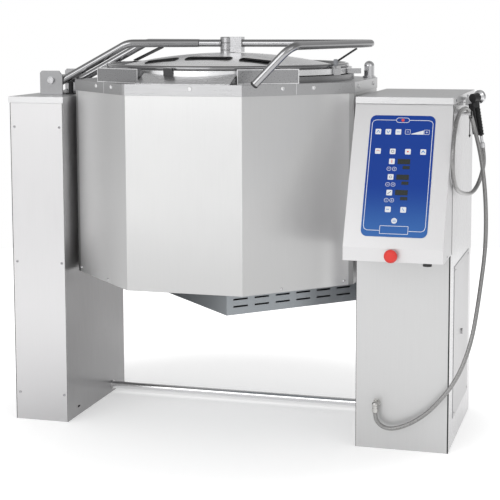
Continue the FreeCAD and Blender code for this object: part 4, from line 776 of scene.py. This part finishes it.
def make_seams():
    """Dark joint lines of the panels and the soft seal under the lid's edge."""
    add_piece("panel_seams", [strip_box(low, high) for low, high in PANEL_SEAMS], "seam", "stand")
    outer, inner = rounded(-0.1612, 0.0818, 0.1912, 0.5592, 0.004), rounded(-0.160, 0.083, 0.190, 0.558, 0.003)
    hatch = loop_band(outer, inner, (COLUMN_SIDE, 0, 0), (0, 1, 0), (0, 0, 1), 0.0, SEAM_HIGH)
    add_piece("hatch_seam", [hatch], "grey", "stand")
    add_piece("lid_edge_seal", [ring_band(0.4062, 1.1374, 1.1400, 0.0011)], "rubber", "lid")


def make_band_joints():
    """The pale upright joints where the band's strips meet on its two front diagonal faces."""
    outline = [(-0.0007, 1.0860), (0.0007, 1.0860), (0.0007, 1.1185), (-0.0007, 1.1185)]
    joints = [prism(outline, spot, (HALF, HALF * sign, 0), UP, -0.0002, 0.0005)
              for sign, spot in ((1, (0.3143, -0.3297, 0)), (-1, (-0.2935, -0.3505, 0)))]
    add_piece("band_joints", joints, "edge", "vessel")


# The handle tube's open end and its last bend; the plug's profile of (radius, height) from that end.
HANDLE_END, HANDLE_BEND = Vector((0.238, -0.515, 1.125)), Vector((0.345, -0.512, 1.234))
PLUG_PROFILE = [(0.0100, -0.0120), (0.0102, 0.0), (0.0124, 0.0002), (0.0124, 0.0036), (0.0108, 0.0066),
                (0.0062, 0.0084)]


def make_handle_plug():
    """The dark domed plug in the open end of the lid's handle tube."""
    plug = lathe_points(PLUG_PROFILE, HANDLE_END, HANDLE_END - HANDLE_BEND, 32)
    add_piece("handle_plug", [plug], "strut", "lid", smooth=True)


# The dome's apex and sphere, and the ends of its slots across.
DOME_APEX, DOME_SPHERE = 1.2035, 1.510
SLOT_ENDS = ((-0.205, -0.105), (-0.072, 0.072), (0.105, 0.205))


def make_slot_shade_bands():
    """Dark bands in the rubber look round the dome's three feeding slots: painted shade that widens the slots."""
    shade_bands = []
    for x0, x1 in SLOT_ENDS:
        outer = rounded(x0 - 0.002, -0.230, x1 + 0.002, -0.178, 0.014)
        inner = rounded(x0 + 0.0006, -0.2274, x1 - 0.0006, -0.1806, 0.0114)
        points = []
        for outline, rise in ((outer, -0.0002), (outer, 0.0028), (inner, 0.0028), (inner, -0.0030)):
            for a, b in outline:
                dome = DOME_APEX - DOME_SPHERE + math.sqrt(DOME_SPHERE ** 2 - a * a - b * b)
                points.append((a, b, dome + rise))
        shade_bands.append((points, loop_band(outer, inner, (0, 0, 0), (1, 0, 0), (0, 1, 0), 0, 1)[1]))
    add_piece("slot_shade_bands", shade_bands, "rubber", "lid")


def bead(centre, axis, radius, thickness, sides=36, cross=8):
    """Points and faces of a weld bead: a ring round a tube with a scaled ripple."""
    axis, u, v = square_to(axis)
    points, faces = [], []
    for i in range(sides):
        turn = 2 * math.pi * i / sides
        out = u * math.cos(turn) + v * math.sin(turn)
        swell = thickness * (1 + 0.18 * math.sin(turn * 14))
        for j in range(cross):
            tip = 2 * math.pi * j / cross
            points.append(Vector(centre) + out * (radius + swell * math.cos(tip)) + axis * (swell * math.sin(tip)))
    for i in range(sides):
        for j in range(cross):
            k, m = (i + 1) % sides, (j + 1) % cross
            faces.append((i * cross + j, k * cross + j, k * cross + m, i * cross + m))
    return points, faces


# Where the handle tube enters the hub and where the tie tube meets its flanges.
HUB_WELDS = ((-0.0243, 0, 1.234), (0.0523, 0, 1.234))
TIE_WELDS = ((-0.4708, 0.134, 0.026), (0.4778, 0.134, 0.026))
WELD_SIZE = 0.0012


def make_welds():
    """Weld beads where the handle tube meets the hub and where the tie tube meets the columns."""
    hub = [bead(spot, RIGHT, 0.0121, WELD_SIZE) for spot in HUB_WELDS]
    add_piece("hub_welds", hub, "weld", "lid", smooth=True)
    tie = [bead(spot, RIGHT, 0.0131, WELD_SIZE) for spot in TIE_WELDS]
    add_piece("tie_welds", tie, "weld", "stand", smooth=True)


GROOVE_HEIGHTS, GROOVE_RADIUS, GROOVE_HALF = (1.21205, 1.23505), 0.0239, 0.0008


def make_hub_grooves():
    """Turned grooves round the lid's hub."""
    grooves = [ring_band(GROOVE_RADIUS, height - GROOVE_HALF, height + GROOVE_HALF, 0.0010, 48)
               for height in GROOVE_HEIGHTS]
    add_piece("hub_grooves", grooves, "seam", "lid")


# The guard plates: their turn, their face from the axis, their heights, and their long and short ends.
GUARD_TURN, GUARD_FACE, GUARD_LOW, GUARD_HIGH = 28, -0.443, 1.1192, 1.163
GUARD_SHORT, GUARD_LONG, GUARD_EDGE = 0.0585, 0.1295, 0.0022


def make_guard_frames():
    """The cut edges of the two guard plates beside the pouring lip, made bright as a painted highlight of the
    edges catching light.
    """
    frames = []
    for sign in (-1, 1):
        turn = Matrix.Rotation(math.radians(GUARD_TURN * sign), 4, "Z")
        x0, x1 = (-GUARD_SHORT, GUARD_LONG) if sign > 0 else (-GUARD_LONG, GUARD_SHORT)
        outer = [(x0, GUARD_LOW), (x1, GUARD_LOW), (x1, GUARD_HIGH), (x0, GUARD_HIGH)]
        x0, x1, low, high = x0 + GUARD_EDGE, x1 - GUARD_EDGE, GUARD_LOW + GUARD_EDGE, GUARD_HIGH - GUARD_EDGE
        inner = [(x0, low), (x1, low), (x1, high), (x0, high)]
        origin = turn @ Vector((0, GUARD_FACE, 0))
        frames.append(loop_band(outer, inner, origin, turn @ Vector((1, 0, 0)), UP, -0.0001, 0.0005))
    add_piece("guard_edge_highlights", frames, "edge", "vessel")


make_fasteners()
make_seams()
make_band_joints()
make_handle_plug()
make_slot_shade_bands()
make_welds()
make_hub_grooves()
make_guard_frames()


# Stage and light.


def seen_directly(tree):
    """One for rays from the eye, in gloss and through glass, and none for diffuse light."""
    path = add_node(tree, "ShaderNodeLightPath")
    first = maths(tree, "MAXIMUM", path.outputs["Is Camera Ray"], path.outputs["Is Glossy Ray"])
    return maths(tree, "MAXIMUM", first, path.outputs["Is Transmission Ray"])


FLOOR_RADIUS, FLOOR_SIDES, FLOOR_RINGS = 3.6, 96, 14
# The floor's own glow towards the eye, near the object and far from it, and the radii between which it grows.
GLOW_NEAR, GLOW_FAR, GLOW_START, GLOW_END = 0.34, 0.64, 0.62, 1.15


def floor_mesh():
    """A round floor of rings."""
    points = [(0, 0, 0)]
    for ring in range(1, FLOOR_RINGS + 1):
        for side in range(FLOOR_SIDES):
            turn = 2 * math.pi * side / FLOOR_SIDES
            radius = FLOOR_RADIUS * ring / FLOOR_RINGS
            points.append((radius * math.cos(turn), radius * math.sin(turn), 0))
    faces = [(0, 1 + side, 1 + (side + 1) % FLOOR_SIDES) for side in range(FLOOR_SIDES)]
    for ring in range(FLOOR_RINGS - 1):
        here, after = 1 + ring * FLOOR_SIDES, 1 + (ring + 1) * FLOOR_SIDES
        for side in range(FLOOR_SIDES):
            other = (side + 1) % FLOOR_SIDES
            faces.append((here + side, after + side, after + other, here + other))
    mesh = bpy.data.meshes.new("floor")
    mesh.from_pydata(points, [], faces)
    return mesh


def make_floor():
    """A pale round floor that keeps the object's shadow and runs into the backdrop."""
    mesh = floor_mesh()
    material = bpy.data.materials.new("floor_paper")
    material.use_nodes = True
    tree = material.node_tree
    tree.nodes.clear()
    output = add_node(tree, "ShaderNodeOutputMaterial")
    where = place(tree)
    diffuse = add_node(tree, "ShaderNodeBsdfDiffuse")
    paper = mixed(tree, mapped(tree, noise(tree, where, 40.0), 0, 1), (0.86, 0.86, 0.86), (0.88, 0.88, 0.88))
    tree.links.new(paper, diffuse.inputs[0])
    x, y, _ = axes(tree, where)
    lift = mapped(tree, from_axis(tree, x, y), GLOW_NEAR, GLOW_FAR, GLOW_START, GLOW_END, smooth=True)
    glow = add_node(tree, "ShaderNodeEmission")
    tree.links.new(maths(tree, "MULTIPLY", lift, seen_directly(tree)), glow.inputs["Strength"])
    both = add_node(tree, "ShaderNodeAddShader")
    tree.links.new(diffuse.outputs[0], both.inputs[0])
    tree.links.new(glow.outputs[0], both.inputs[1])
    tree.links.new(both.outputs[0], output.inputs["Surface"])
    mesh.materials.append(material)
    floor = bpy.data.objects.new("floor", mesh)
    scene.collection.objects.link(floor)


def ramp_of(tree, source, stops):
    """A grey ramp on a value."""
    node = add_node(tree, "ShaderNodeValToRGB")
    elements = node.color_ramp.elements
    while len(elements) < len(stops):
        elements.new(0.5)
    for element, (position, value) in zip(elements, stops):
        element.position = position
        element.color = (value, value, value, 1)
    tree.links.new(source, node.inputs[0])
    return node.outputs[0]


# The room as the gloss sees it: grey by the height of the direction, ahead of the object and behind it.
ROOM_AHEAD = ((0.0, 0.88), (0.50, 0.86), (0.80, 0.72), (1.0, 0.45))
ROOM_BEHIND = ((0.0, 1.0), (0.05, 1.0), (0.13, 0.46), (0.30, 0.58), (0.75, 0.55), (1.0, 0.45))
ROOM_LIGHT = 0.75


def make_world():
    """A white backdrop, a bright room ahead, a dimmer one behind and to the sides, and an even soft light."""
    world = bpy.data.worlds.new("studio")
    scene.world = world
    world.use_nodes = True
    tree = world.node_tree
    tree.nodes.clear()
    output = add_node(tree, "ShaderNodeOutputWorld")
    _, y, z = axes(tree, add_node(tree, "ShaderNodeTexCoord").outputs["Generated"])
    sides = mapped(tree, maths(tree, "ABSOLUTE", y), 0.70, 1.0, 0.20, 0.80, smooth=True)
    front = mapped(tree, y, 1.0, 0.0, -0.55, 0.05, smooth=True)
    ahead = ramp_of(tree, z, ROOM_AHEAD)
    behind = ramp_of(tree, z, ROOM_BEHIND)
    back = add_node(tree, "ShaderNodeBackground")
    tree.links.new(mixed(tree, front, behind, ahead), back.inputs["Color"])
    tree.links.new(sides, back.inputs["Strength"])
    soft = add_node(tree, "ShaderNodeBackground", sockets={"Color": (1, 1, 1, 1), "Strength": ROOM_LIGHT})
    mix = add_node(tree, "ShaderNodeMixShader")
    tree.links.new(seen_directly(tree), mix.inputs[0])
    tree.links.new(soft.outputs[0], mix.inputs[1])
    tree.links.new(back.outputs[0], mix.inputs[2])
    tree.links.new(mix.outputs[0], output.inputs["Surface"])


def area_lamp(name, spot, target, width, height, energy):
    """A soft lamp that faces a target."""
    data = bpy.data.lights.new(name, "AREA")
    data.shape = "RECTANGLE"
    data.size, data.size_y = width, height
    data.energy = energy
    lamp = bpy.data.objects.new(name, data)
    scene.collection.objects.link(lamp)
    lamp.location = spot
    lamp.rotation_euler = (Vector(target) - Vector(spot)).to_track_quat("-Z", "Y").to_euler()


make_floor()
make_world()
area_lamp("key_lamp", (-1.6, -4.4, 2.4), (0, 0, 0.7), 3.6, 2.6, 55)
area_lamp("fill_lamp", (3.6, -3.0, 2.6), (0.2, 0, 0.7), 2.4, 2.2, 12)
